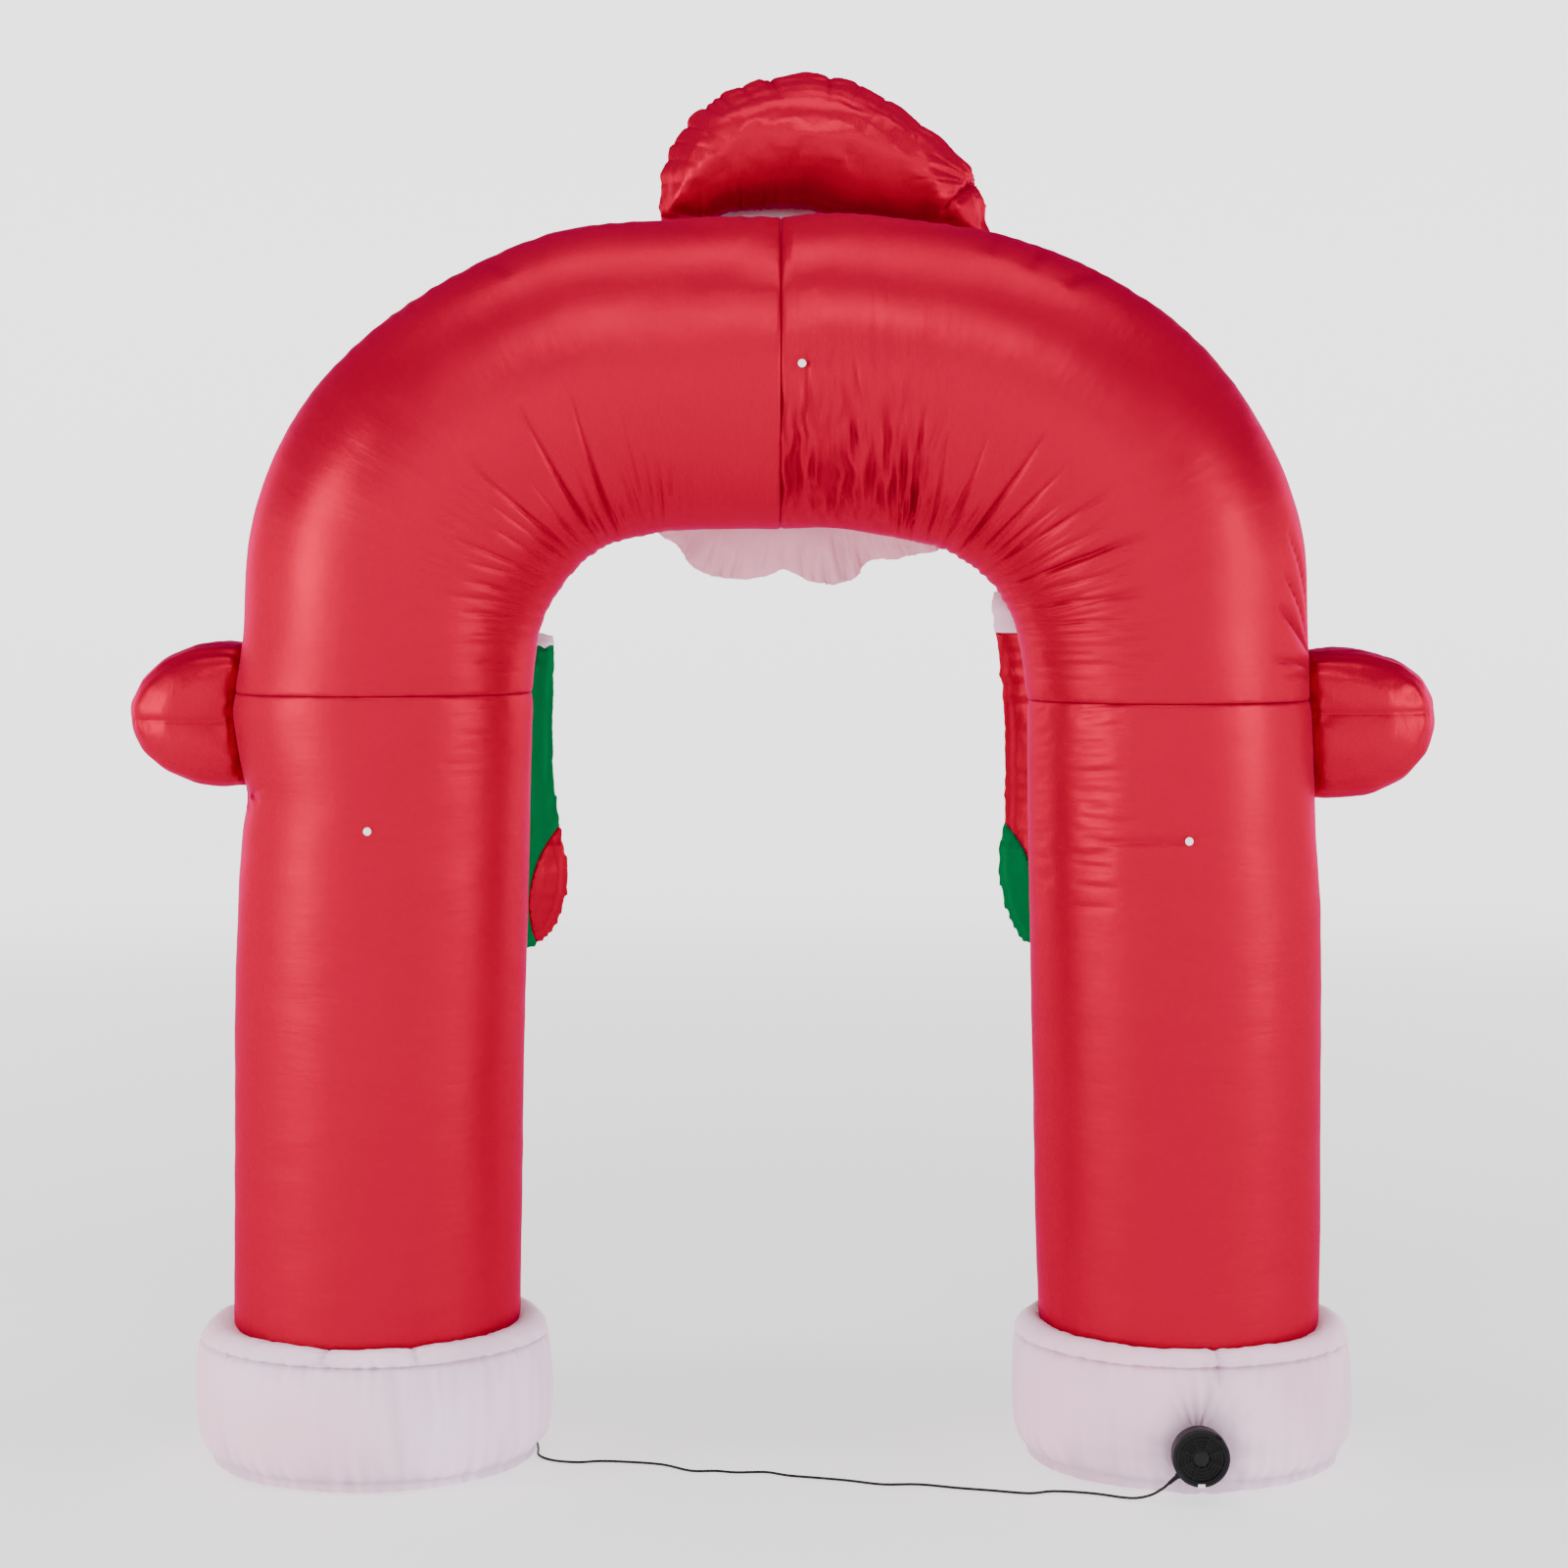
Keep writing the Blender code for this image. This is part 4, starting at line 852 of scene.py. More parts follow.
def crumpled(along, bend, turns, ring_x, ring_y):
    """The loose patch beside the middle seam, where the cloth hangs in upright ridges."""
    lower = np.degrees(-turns)
    patch = rise(bend, 72.0, 84.0) * window(lower, 128.0, 36.0)
    wander = 0.45 * ripple(along / 0.06, ring_x / 0.05, ring_y / 0.05, 21.0)
    ridges = np.abs(ripple(along / 0.021 + wander, ring_x / 0.13, ring_y / 0.13, 23.0))
    fine = np.abs(ripple(along / 0.011 + 2.0 * wander, ring_x / 0.08, ring_y / 0.08, 25.0))
    return patch * (0.019 * ridges + 0.008 * fine)


def folded(away, back, side):
    """The flat three-cornered fold that hangs from the top of the middle seam on the left half."""
    reach = 0.022 + 0.09 * np.clip((back - 0.03) / 0.26, 0.0, 1.0) * (side == "left")
    across = (back / TUBE_RADIUS - radians(37.0)) / radians(25.0)
    return 0.009 * np.clip(1.0 - across ** 2, 0.0, 1.0) * np.clip(1.0 - away / reach, 0.0, 1.0)


def round_button(x, z, turns, node):
    """Small creases that run out of the hole of a light button."""
    button = middle_of(node)
    away = np.hypot(x - button.x, z - button.z)
    angle = np.arctan2(z - button.z, x - button.x)
    star = np.abs(ripple(1.6 * np.cos(angle), 1.6 * np.sin(angle), 0.0 * angle, 51.0))
    past_rim = np.clip((away - BUTTON_RIM) / 0.004, 0.0, 1.0)
    depth, reach = BUTTON_PUCKERS
    return (turns < 0.0) * depth * star * past_rim * np.exp(-away / reach)


# ---- bases

# A base from its hem to its underside: share of the way from the leg out to the wall, height as a
# share of the base's.
BASE_PROFILE = (
    (0.000, 0.972), (0.080, 0.984), (0.220, 0.996), (0.420, 1.000), (0.620, 0.985),
    (0.800, 0.950), (0.925, 0.905), (0.975, 0.880), (0.994, 0.840), (1.004, 0.740),
    (1.008, 0.620), (1.010, 0.480), (1.006, 0.330), (0.992, 0.215), (0.965, 0.130),
    (0.930, 0.060), (0.860, 0.012), (0.700, 0.000), (0.350, 0.000),
)
BASE_SEAM = 7.0            # row of the gathered seam in the profile
BASE_SOLE_SEAM = 14.6      # row of the seam by the ground
BASE_RIDGE_GATHERS = (0.0115, 0.015, 0.040)     # depth, spacing and reach at these seams
BASE_SOLE_GATHERS = (0.0120, 0.020, 0.050)
SEAM_ROW = 0.030           # metres of cloth from row to row by each of these seams
SOLE_ROW = 0.024
CROSS_SEAM = (0.008, 0.005, 0.030)         # depth, width of its groove, reach of its puckers
BLOWER_PULL = (0.018, 0.048, 0.022)        # depth, from what distance to the blower's middle, reach
BLOWER_FOLDS = (0.024, 0.045, 0.065)
WALL_ROWS = (2.0, 6.5)     # rows between which relief turns from downwards to inwards
SOLE_STARTS = 15.0         # row from which relief is halved
ON_GROUND = 15.5           # row from which the cloth lies flat
BASE_CLOTH = 0.6           # metres of cloth from the hem to the middle of the underside
BASE_UNDER = 0.004         # how far the hem reaches in under the leg's cloth
BASE_CROSS_SEAMS = {
    # turn of the seam, how many rows of the profile it runs down
    "left": ((-101.0, 7.2), (-70.0, 7.2), (40.0, 7.2), (150.0, 7.2)),
    "right": ((-84.0, 9.6), (35.0, 7.2), (160.0, 7.2)),
}


def on_profile(rows, place):
    """A point of a profile at a fractional row, on a smooth curve through its rows."""
    last = len(rows) - 1
    place = kept(place, 0.0, float(last))
    start = min(int(place), last - 1)
    step = place - start
    four = [rows[kept(start + offset, 0, last)] for offset in (-1, 0, 1, 2)]
    return tuple(
        b + 0.5 * step * (c - a + step * (
            2.0 * a - 5.0 * b + 4.0 * c - d + step * (3.0 * (b - c) + d - a)))
        for a, b, c, d in zip(*four))


def make_base(side, sizes, material):
    """A flattened ring of white cloth under a leg, puckered along its seams."""
    name = f"base_{side}"
    low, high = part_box(name)
    centre = middle_of(name)
    wall = half_of(name)
    foot = leg_edges(side, [FOOT_Z + 0.004, FOOT_Z + 0.005, FOOT_Z + 0.006])[0]
    leg_x, leg_half = (foot[0] + foot[1]) / 2.0, abs(foot[0] - foot[1]) / 2.0
    leg_deep = half_of(f"leg_{side}").y
    rings, columns = sizes.base_rings, sizes.base_columns
    steps = ring_shares(rings)
    shares, turns = grid_of(steps, columns)
    rows = shares * (len(BASE_PROFILE) - 1)
    profile = np.array([on_profile(BASE_PROFILE, row) for row in rows[:, 0]])
    arc = turns * wall.x
    seed = 31.0 + SIDES[side]
    from_seam = np.abs(rows - BASE_SEAM) * SEAM_ROW
    from_sole = np.abs(rows - BASE_SOLE_SEAM) * SOLE_ROW
    ring_x, ring_y = wall.x * np.cos(turns), wall.x * np.sin(turns)
    relief = gathered(arc, from_seam, *BASE_RIDGE_GATHERS, seed)
    relief += gathered(arc, from_sole, *BASE_SOLE_GATHERS, seed + 1.0)
    relief += 0.0070 * ripple(ring_x / 0.14, ring_y / 0.14, rows / 6.0, seed + 2.0)
    relief += 0.0042 * np.abs(ripple(ring_x / 0.034, ring_y / 0.034, rows / 5.0, seed + 3.0))
    deep, groove, puckered = CROSS_SEAM
    for seam_turn, reach in BASE_CROSS_SEAMS[side]:
        across = np.abs(turns - radians(seam_turn)) * wall.x
        top = rise(-rows, -reach, -reach + 2.0) * rise(rows, 0.3, 1.8)
        relief += top * deep * np.exp(-across / groove)
        relief += top * deep * np.exp(-across / puckered) * (0.5 + ripple(
            rows / 0.45, across / puckered, 0.0 * rows, seed + seam_turn))
    if side == "right":
        relief += drawn_to_blower(profile, rows, turns, centre, wall, low, high)
    # Painted shade in the creases and seams, and round the blower where the cloth is drawn in.
    crease_shades = painted_crease_shade(0.8 * relief)

    def place(ring, column, turn):
        if ring < 0:
            return Vector((leg_x, AXIS_Y, low.z + profile[0, 1] * (high.z - low.z)))
        if ring >= rings:
            return Vector((centre.x, centre.y, low.z))
        share, height = profile[ring]
        level = low.z + height * (high.z - low.z)
        inner = Vector((leg_x + (leg_half - BASE_UNDER) * cos(turn),
                        AXIS_Y + (leg_deep - BASE_UNDER) * sin(turn), 0.0))
        outer = Vector((centre.x + wall.x * cos(turn), centre.y + wall.y * sin(turn), 0.0))
        row = rows[ring, 0]
        source = inner if row <= BASE_SEAM else Vector((centre.x, centre.y, 0.0))
        point = source.lerp(outer, share)
        drawn = relief[ring, column]
        out = Vector((cos(turn), sin(turn), 0.0))
        start, end = WALL_ROWS
        flat = clipped((row - start) / (end - start)) * (1.0 if row < SOLE_STARTS else 0.5)
        point -= out * drawn * flat
        point.z = level if row > ON_GROUND else level - drawn * (1.0 - flat) * 0.8
        return point

    bm = tube(columns, steps, place, BASE_CLOTH, wall.x, crease_shades)
    finish_tube(bm, name, material, "white_cloth")


def drawn_to_blower(profile, rows, turns, centre, wall, low, high):
    """Cloth pulled in round the blower, with folds that run out of it like rays."""
    blower = middle_of("blower_housing")
    x = centre.x + wall.x * np.cos(turns) - blower.x
    z = np.repeat((profile[:, 1] * (high.z - low.z))[:, None], turns.shape[1], axis=1) - blower.z
    facing = (turns < 0.0) & (rows > BASE_SEAM)
    away = np.hypot(x, z)
    angle = np.arctan2(z, x)
    rays = ripple(2.6 * np.cos(angle), 2.6 * np.sin(angle), 0.0 * angle, 47.0)
    rays += 0.6 * ripple(5.5 * np.cos(angle), 5.5 * np.sin(angle), away / 0.2, 48.0)
    pull, folds = (
        depth * np.exp(-np.maximum(away - start, 0.0) / reach)
        for depth, start, reach in (BLOWER_PULL, BLOWER_FOLDS))
    return np.where(facing, pull + folds * np.abs(rays), 0.0)


# ---- cushions

def settle(piece):
    """Make a piece's modifiers part of its mesh."""
    graph = bpy.context.evaluated_depsgraph_get()
    mesh = bpy.data.meshes.new_from_object(piece.evaluated_get(graph))
    piece.modifiers.clear()
    piece.data = mesh


def add_modifier(piece, name, kind, **settings):
    """A modifier with its settings."""
    modifier = piece.modifiers.new(name, kind)
    for key, value in settings.items():
        setattr(modifier, key, value)
    return modifier


CUSHIONS = {}              # cushions that are cut out and sewn, and not finished yet
SEWN_WITHIN = 0.014        # metres from a neighbour within which a cushion is drawn up to it
NYLON_CLOTH = {
    "quality": 4, "mass": 0.2, "tension_stiffness": 25.0, "compression_stiffness": 25.0,
    "shear_stiffness": 12.0, "bending_stiffness": 0.4, "use_pressure": True,
    "vertex_group_shrink": "seam",
}


class Cushion:
    """A cushion in the making: an even-grained mesh that knows where its solid's surface was."""

    def __init__(self, name, nodes, grain, seam=None, rounding=12, slack=0.004, limit=0.014,
                 edge_limit=0.004, sewn_to=()):
        self.limit = limit
        self.edge_limit = edge_limit
        self.sewn_to = [solid_tree(node) for node in sewn_to]
        bm = bmesh.new()
        for node in nodes:
            bm.from_mesh(NODES[node].data)
        bmesh.ops.remove_doubles(bm, verts=bm.verts, dist=0.0001)
        self.piece = link(name, mesh_from(name, bm))
        add_modifier(self.piece, "grain", "REMESH", mode="VOXEL", voxel_size=grain)
        settle(self.piece)
        self.solid = [(vert.co.copy(), at_edge(vert.normal)) for vert in self.piece.data.vertices]
        add_modifier(self.piece, "round", "SMOOTH", factor=0.5, iterations=rounding)
        add_modifier(self.piece, "slack", "DISPLACE", strength=-slack, mid_level=0.0)
        settle(self.piece)
        sewn = self.piece.vertex_groups.new(name="seam")
        for vert in self.piece.data.vertices:
            share = seam(vert.co) if seam else at_edge(vert.normal)
            sewn.add([vert.index], share, "REPLACE")
        CUSHIONS[name] = self

    def lay_cloth(self, pressure, gather, spare):
        """Make it cloth round air: drawn together at its seam, with some to spare elsewhere."""
        air = self.piece.modifiers.new("air", "CLOTH")
        for key, value in NYLON_CLOTH.items():
            setattr(air.settings, key, value)
        air.settings.uniform_pressure_force = pressure
        air.settings.effector_weights.gravity = 0.0
        air.settings.shrink_min = -spare
        air.settings.shrink_max = gather
        air.collision_settings.use_collision = False

    def take_shape(self):
        """Keep what the air did, within the limits of the solid's surface, and refine the mesh."""
        settle(self.piece)
        for vert, (start, edge) in zip(self.piece.data.vertices, self.solid):
            move = vert.co - start
            limit = self.limit + (self.edge_limit - self.limit) * edge
            if move.length > limit:
                move *= limit / move.length
            vert.co = start + move
        add_modifier(self.piece, "ease", "SMOOTH", factor=0.5, iterations=2)
        add_modifier(self.piece, "fine", "SUBSURF", levels=1, render_levels=1)
        settle(self.piece)

    def sew_on(self):
        """Draw the edge that is sewn to the neighbours up to their surface."""
        for vert in self.piece.data.vertices:
            found = [tree.find_nearest(vert.co, SEWN_WITHIN) for tree in self.sewn_to]
            near = [hit for hit in found if hit[0] is not None]
            if near:
                place, normal, _, gap = min(near, key=lambda hit: hit[3])
                share = smooth(clipped((SEWN_WITHIN - gap) / 0.010))
                vert.co = vert.co.lerp(place + normal * 0.0008, share)


def fill_cushions(sizes):
    """Blow up all sewn cushions together."""
    scene = bpy.context.scene
    for cushion in CUSHIONS.values():
        cushion.lay_cloth(sizes.pressure, gather=0.09, spare=0.045)
    for number in range(1, sizes.breaths + 1):
        scene.frame_set(number)
    for cushion in CUSHIONS.values():
        cushion.take_shape()
        cushion.sew_on()
    scene.frame_set(1)


def finished(name):
    """A filled cushion, ready for its last shaping."""
    return CUSHIONS.pop(name).piece


def at_edge(normal):
    """How much a point of a standing cushion belongs to its sewn edge, from 0 to 1."""
    return clipped((0.42 - abs(normal.y)) / 0.25)


def shape(piece, move):
    """Move each point of a piece by move(point, normal), and note painted crease shade by how far
    it is drawn in.
    """
    mesh = piece.data
    moves = [move(vert.co, vert.normal) for vert in mesh.vertices]
    drawn = np.array([-step.dot(vert.normal) for vert, step in zip(mesh.vertices, moves)])
    # Painted crease shade, by how far each point is drawn in.
    crease_shade = mesh.attributes.get("crease_shade") or mesh.attributes.new("crease_shade", "FLOAT", "POINT")
    crease_shade.data.foreach_set("value", painted_crease_shade(drawn))
    for vert, step in zip(mesh.vertices, moves):
        vert.co += step


def finish_cushion(piece, material, slot, fill, *nodes):
    """Shade a cushion, give it its cloth and its place."""
    piece.vertex_groups.clear()
    piece.data.shade_smooth()
    fit(piece, material, slot, *nodes)


def arm_nodes(side):
    """Nodes of an arm's two panels."""
    return (f"arm_{side}_upper", f"arm_{side}_lower")


def arm_seam(side):
    """Height of the seam between an arm's two panels."""
    upper, lower = arm_nodes(side)
    return (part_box(upper)[0].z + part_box(lower)[1].z) / 2.0


def cut_cushions(sizes):
    """Cut and sew every cushion from its nodes' solids."""
    grain = sizes.grain
    for side in SIDES:
        seam_z = arm_seam(side)
        Cushion(f"arm_{side}_cloth", arm_nodes(side), grain,
                lambda point, z=seam_z: 0.3 * max(0.0, 1.0 - abs(point.z - z) / grain),
                rounding=9, slack=0.001, limit=0.007, edge_limit=0.007,
                sewn_to=(f"leg_{side}", f"crown_{side}"))
        Cushion(f"stocking_{side}", stocking_nodes(side), grain)
    Cushion("cap_cloth", ("cap",), 0.85 * grain)
    Cushion("beard_cloth", ("beard",), 0.9 * grain, rounding=5, limit=0.010)
    for node in ("cap_band", "face_panel"):
        Cushion(f"{node}_cloth", (node,), grain, rounding=2, slack=0.002, limit=0.003)


def make_arm(side, material):
    """An arm: a lobe of two panels, gathered along the seam round its edge."""
    arm = finished(f"arm_{side}_cloth")
    seam_z = arm_seam(side)
    leg = middle_of(f"leg_{side}")

    def gathers(point, normal):
        around = atan2(point.y - leg.y, (point.x - leg.x) * SIDES[side])
        run = around * 0.45
        off = abs(point.z - seam_z)
        pucker = 0.5 + 0.9 * noise.noise((run / 0.016, off / 0.08, 5.0 + SIDES[side]))
        facing = min(1.0, 1.4 * abs(normal.y)) ** 2
        folds = 0.0030 * noise.noise((run / 0.03, point.z / 0.12, 9.0))
        below = 1.0 if point.z < seam_z else 0.35
        drawn = 0.0026 * exp(-off / 0.0030) + 0.0080 * below * max(0.0, pucker) * exp(-off / 0.024)
        return -normal * (facing * drawn + folds)

    shape(arm, gathers)
    finish_cushion(arm, material, "red_cloth", 0.9, *arm_nodes(side))


CAP_NOTCHES = (
    # x, z, depth, reach, width of the places where the cap's edge is gathered most
    (-0.243, 2.497, 0.009, 0.026, 0.0045),
    (-0.227, 2.534, 0.010, 0.026, 0.0045),
    (-0.199, 2.565, 0.011, 0.032, 0.0050),
    (-0.166, 2.607, 0.012, 0.040, 0.0050),
    (-0.150, 2.616, 0.007, 0.036, 0.0040),
    (-0.135, 2.627, 0.009, 0.034, 0.0045),
    (-0.090, 2.651, 0.006, 0.045, 0.0040),
    (-0.040, 2.660, 0.006, 0.030, 0.0040),
    (-0.029, 2.662, 0.010, 0.040, 0.0045),
    (0.092, 2.664, 0.010, 0.032, 0.0050),
    (0.150, 2.646, 0.005, 0.040, 0.0045),
    (0.207, 2.622, 0.007, 0.035, 0.0045),
    (0.285, 2.575, 0.004, 0.035, 0.0045),
    (-0.252, 2.455, 0.006, 0.030, 0.0045),
)
CAP_FOLD = ((0.376, 2.459), (0.315, 2.388))     # from and to of the fold where the tip flops down
CAP_HEM = (
    # x, z of the cap's lower edge on the blower side
    (-0.300, 2.376), (-0.150, 2.378), (-0.105, 2.397), (-0.020, 2.4045),
    (0.050, 2.4035), (0.100, 2.386), (0.200, 2.374), (0.400, 2.345),
)
CAP_PLEATS = (0.05, 2.455)         # x and z below which the cap's left part hangs in pleats
CAP_SOFT = (0.335, 2.480)          # middle of the soft dents by the tip, and of their rays
CAP_RAYS = (0.400, 2.450)
GATHERED_TO = 0.06         # how far below the cap's middle its gathers point
HEM_STEP = 0.012           # metres of x over which the cap's lowest points are gathered
HEM_REACH = 0.10           # height above its lower edge up to which the cap is drawn down


def make_cap(material):
    """The cap: a gathered cushion whose tip flops down on the +Y side."""
    cap = finished("cap_cloth")
    middle = middle_of("cap")

    def gathers(point, normal):
        edge = at_edge(normal)
        spot = Vector((point.x, point.z))
        drawn = 0.003 * edge
        for x, z, depth, reach, width in CAP_NOTCHES:
            inward = (Vector((middle.x, middle.z - GATHERED_TO)) - Vector((x, z))).normalized()
            off = spot - Vector((x, z))
            along = off.dot(inward)
            across = abs(off.x * inward.y - off.y * inward.x)
            drawn += depth * exp(-across / width - max(0.0, along) / reach)
        pleats_x, pleats_z = CAP_PLEATS
        low = clipped((pleats_z - point.z) / 0.05) * clipped((pleats_x - point.x) / 0.05)
        pleat = max(0.0, noise.noise((point.x / 0.011, 3.0, point.z / 0.3)))
        drawn += 0.012 * low * (1.0 - edge) * pleat
        right = exp(-((point.x - CAP_SOFT[0]) / 0.06) ** 2 - ((point.z - CAP_SOFT[1]) / 0.05) ** 2)
        fan = atan2(point.z - CAP_RAYS[1], point.x - CAP_RAYS[0])
        drawn += 0.010 * right * noise.noise((fan / 0.14, 8.0, 0.0))
        start, end = (Vector(place) for place in CAP_FOLD)
        line = end - start
        share = clipped((spot - start).dot(line) / line.length_squared)
        drawn += 0.014 * exp(-(spot - start - share * line).length / 0.007) * (normal.y < 0.2)
        soft = 0.0035 * noise.noise((point.x / 0.10, point.z / 0.07, point.y / 0.15))
        return -normal * (drawn + soft)

    shape(cap, gathers)
    lows = {}
    for vert in cap.data.vertices:
        place = round(vert.co.x / HEM_STEP)
        lows[place] = min(vert.co.z, lows.get(place, inf))
    for vert in cap.data.vertices:
        place = vert.co.x / HEM_STEP
        first = round(place - 0.5)
        if first not in lows or first + 1 not in lows:
            continue
        low = lows[first] + (lows[first + 1] - lows[first]) * (place - first)
        hem = float(np.interp(vert.co.x, *zip(*CAP_HEM)))
        share = 1.0 - clipped((vert.co.z - low) / HEM_REACH)
        vert.co.z += min(0.0, hem - low) * smooth(share)
    finish_cushion(cap, material, "red_cloth", 0.9, "cap")


BEARD_RAYS_UP = 0.30       # how far above the beard's middle its rays come together
BEARD_LOW = 1.76           # height below which they become deeper


def make_beard(material):
    """The scalloped beard under the crown."""
    beard = finished("beard_cloth")
    middle = middle_of("beard")

    def rays(point, normal):
        angle = atan2(point.z - (middle.z + BEARD_RAYS_UP), point.x - middle.x)
        broad = noise.noise((angle * 22.0, point.z / 0.3, 2.0))
        sharp = abs(noise.noise((angle * 46.0, point.z / 0.12, 4.0)))
        low = clipped((BEARD_LOW - point.z) / 0.10)
        edge = at_edge(normal)
        drawn = (0.0070 * broad + 0.0150 * sharp) * (0.25 + 0.75 * low) * (1.0 - 0.8 * edge)
        return -normal * (drawn + 0.001 * edge)

    shape(beard, rays)
    finish_cushion(beard, material, "beard_cloth", 0.8, "beard")


BAND_HELD = -0.15          # left of this the band is drawn in behind the cap, by a share of the way
BAND_SHORTER = 0.26


def make_plain_cushion(node, material, slot, fill):
    """A plain cushion that fills its solid's place: the band under the cap and the panel."""
    piece = finished(f"{node}_cloth")

    def puckers(point, normal):
        wave = noise.noise((point.x / 0.018, point.z / 0.02, 3.0))
        return -normal * at_edge(normal) * (0.0012 + 0.0024 * wave)

    shape(piece, puckers)
    if node == "cap_band":
        for vert in piece.data.vertices:
            vert.co.x += BAND_SHORTER * max(0.0, BAND_HELD - vert.co.x)
    finish_cushion(piece, material, slot, fill, node)


# ---- stockings

HEEL_X = 0.260             # middle and size of the heel patch, x counted from the arch's middle
HEEL_Z = 1.020
HEEL_RADIUS = 0.250
CUFF_SCALLOPS = {"left": 0.007, "right": 0.0}
SCALLOP_WIDTH = 0.024
AT_CUFF = 0.012            # metres from the cuff's line within which a cut follows it


def heel_patch(side, point):
    """How far a point is outside the heel's round seam, in metres."""
    return sqrt((point.x * SIDES[side] - HEEL_X) ** 2 + (point.z - HEEL_Z) ** 2) - HEEL_RADIUS


def cut_from(whole, name, keep, to_seam):
    """The part of a stocking where keep(point) is true, closed along its seams."""
    bm = bmesh.new()
    bm.from_mesh(whole)
    gone = [face for face in bm.faces if not keep(face.calc_center_median())]
    bmesh.ops.delete(bm, geom=gone, context="FACES")
    rim = [edge for edge in bm.edges if edge.is_boundary]
    for vert in {vert for edge in rim for vert in edge.verts}:
        vert.co = to_seam(vert.co)
    folded_in = bmesh.ops.extrude_edge_only(bm, edges=rim)["geom"]
    inner = [item for item in folded_in if isinstance(item, bmesh.types.BMVert)]
    middle = sum((vert.co for vert in inner), Vector()) / len(inner)
    for vert in inner:
        vert.co = vert.co.lerp(middle, 0.04)
    open_edges = [edge for edge in bm.edges if edge.is_boundary]
    bmesh.ops.holes_fill(bm, edges=open_edges, sides=0)
    return link(name, mesh_from(name, bm))


def stocking_nodes(side):
    """Nodes of a stocking's three pieces."""
    return tuple(f"stocking_{side}_{part}" for part in ("cuff", "leg", "heel"))


def make_stocking(side, leg_cloth, cuff_cloth, heel_cloth, slots):
    """A stuffed stocking of three pieces: leg, cuff and heel patch."""
    nodes = stocking_nodes(side)
    cuff_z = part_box(nodes[0])[0].z
    scallop = CUFF_SCALLOPS[side]
    whole = finished(f"stocking_{side}")

    def cuff_line(x):
        return cuff_z + scallop * abs(sin(pi * x / SCALLOP_WIDTH))

    def gathers(point, normal):
        edge = at_edge(normal)
        wave = noise.noise((point.z / 0.016 + point.x / 0.05, point.x / 0.1, 4.0))
        across = noise.noise((point.x / 0.09, point.z / 0.022, 6.0 + SIDES[side]))
        groove = 0.003 * exp(-abs(point.z - cuff_z) / 0.004)
        groove += 0.0025 * exp(-abs(heel_patch(side, point)) / 0.004)
        return -normal * (0.0015 * edge + 0.0035 * wave * edge + 0.0026 * across + groove)

    shape(whole, gathers)

    def to_cuff(point):
        line = cuff_line(point.x)
        return Vector((point.x, point.y, line)) if abs(point.z - line) < AT_CUFF else point

    def to_heel(point):
        if point.z > cuff_z - AT_CUFF:
            return to_cuff(point)
        off = heel_patch(side, point)
        out = Vector((point.x - SIDES[side] * HEEL_X, 0.0, point.z - HEEL_Z)).normalized()
        return point - out * off

    def above(point):
        return point.z > cuff_line(point.x)

    parts = (
        ("cuff", above, to_cuff, cuff_cloth),
        ("leg", lambda p: not above(p) and heel_patch(side, p) > 0.0, to_heel, leg_cloth),
        ("heel", lambda p: not above(p) and heel_patch(side, p) <= 0.0, to_heel, heel_cloth),
    )
    for (part, keep, to_seam, cloth), node, slot in zip(parts, nodes, slots):
        piece = cut_from(whole.data, f"{node}_cloth", keep, to_seam)
        finish_cushion(piece, cloth, slot, 0.8, node)
    bpy.data.objects.remove(whole)


# ---- blower and buttons

FACING = Matrix.Rotation(pi / 2.0, 4, "X")      # turns a lathe shape from +Z towards -Y
SHARP = radians(30.0)      # edges sharper than this aren't shaded smooth


def spun(bm, points, steps, closed=False):
    """Spin a line of points (radius, height) about Z; closed joins its end to its start."""
    verts = [bm.verts.new((radius, 0.0, height)) for radius, height in points]
    pairs = zip(verts[-1:] + verts, verts) if closed else zip(verts, verts[1:])
    edges = [bm.edges.new(pair) for pair in pairs]
    bmesh.ops.spin(
        bm, geom=verts + edges, cent=(0.0, 0.0, 0.0), axis=(0.0, 0.0, 1.0), angle=2.0 * pi,
        steps=steps, use_merge=True)


def turned(profile, steps, join=1e-6):
    """A lathe shape about Z; the profile starts on the axis."""
    bm = bmesh.new()
    spun(bm, profile, steps)
    bmesh.ops.remove_doubles(bm, verts=bm.verts, dist=join)
    return bm


def hoop(bm, radius, width, height, steps):
    """Add a flat hoop of square section, standing on Z = 0, to a bmesh."""
    inner, outer = radius - width / 2.0, radius + width / 2.0
    spun(bm, ((inner, 0.0), (outer, 0.0), (outer - 0.0003, height), (inner + 0.0003, height)),
         steps, closed=True)


def lathe_piece(name, bm, place, facing=FACING, sharp=SHARP):
    """Turn a lathe shape, to face the blower side if not told else, and set it at its place."""
    bmesh.ops.transform(bm, matrix=Matrix.Translation(place) @ facing, verts=bm.verts)
    mesh = mesh_from(name, bm)
    mesh.set_sharp_from_angle(angle=sharp)
    return link(name, mesh)


GRILLE_RINGS = (0.0185, 0.0245, 0.0305, 0.0365)
GRILLE_SPOKES = 8
SPOKE_START = 0.0132       # distance of a spoke's inner end from the hub's middle
NOTCH_TURN = radians(-52.0)                # where on the rim the notch is
NOTCH_SIZE = (0.010, 0.014, 0.013)


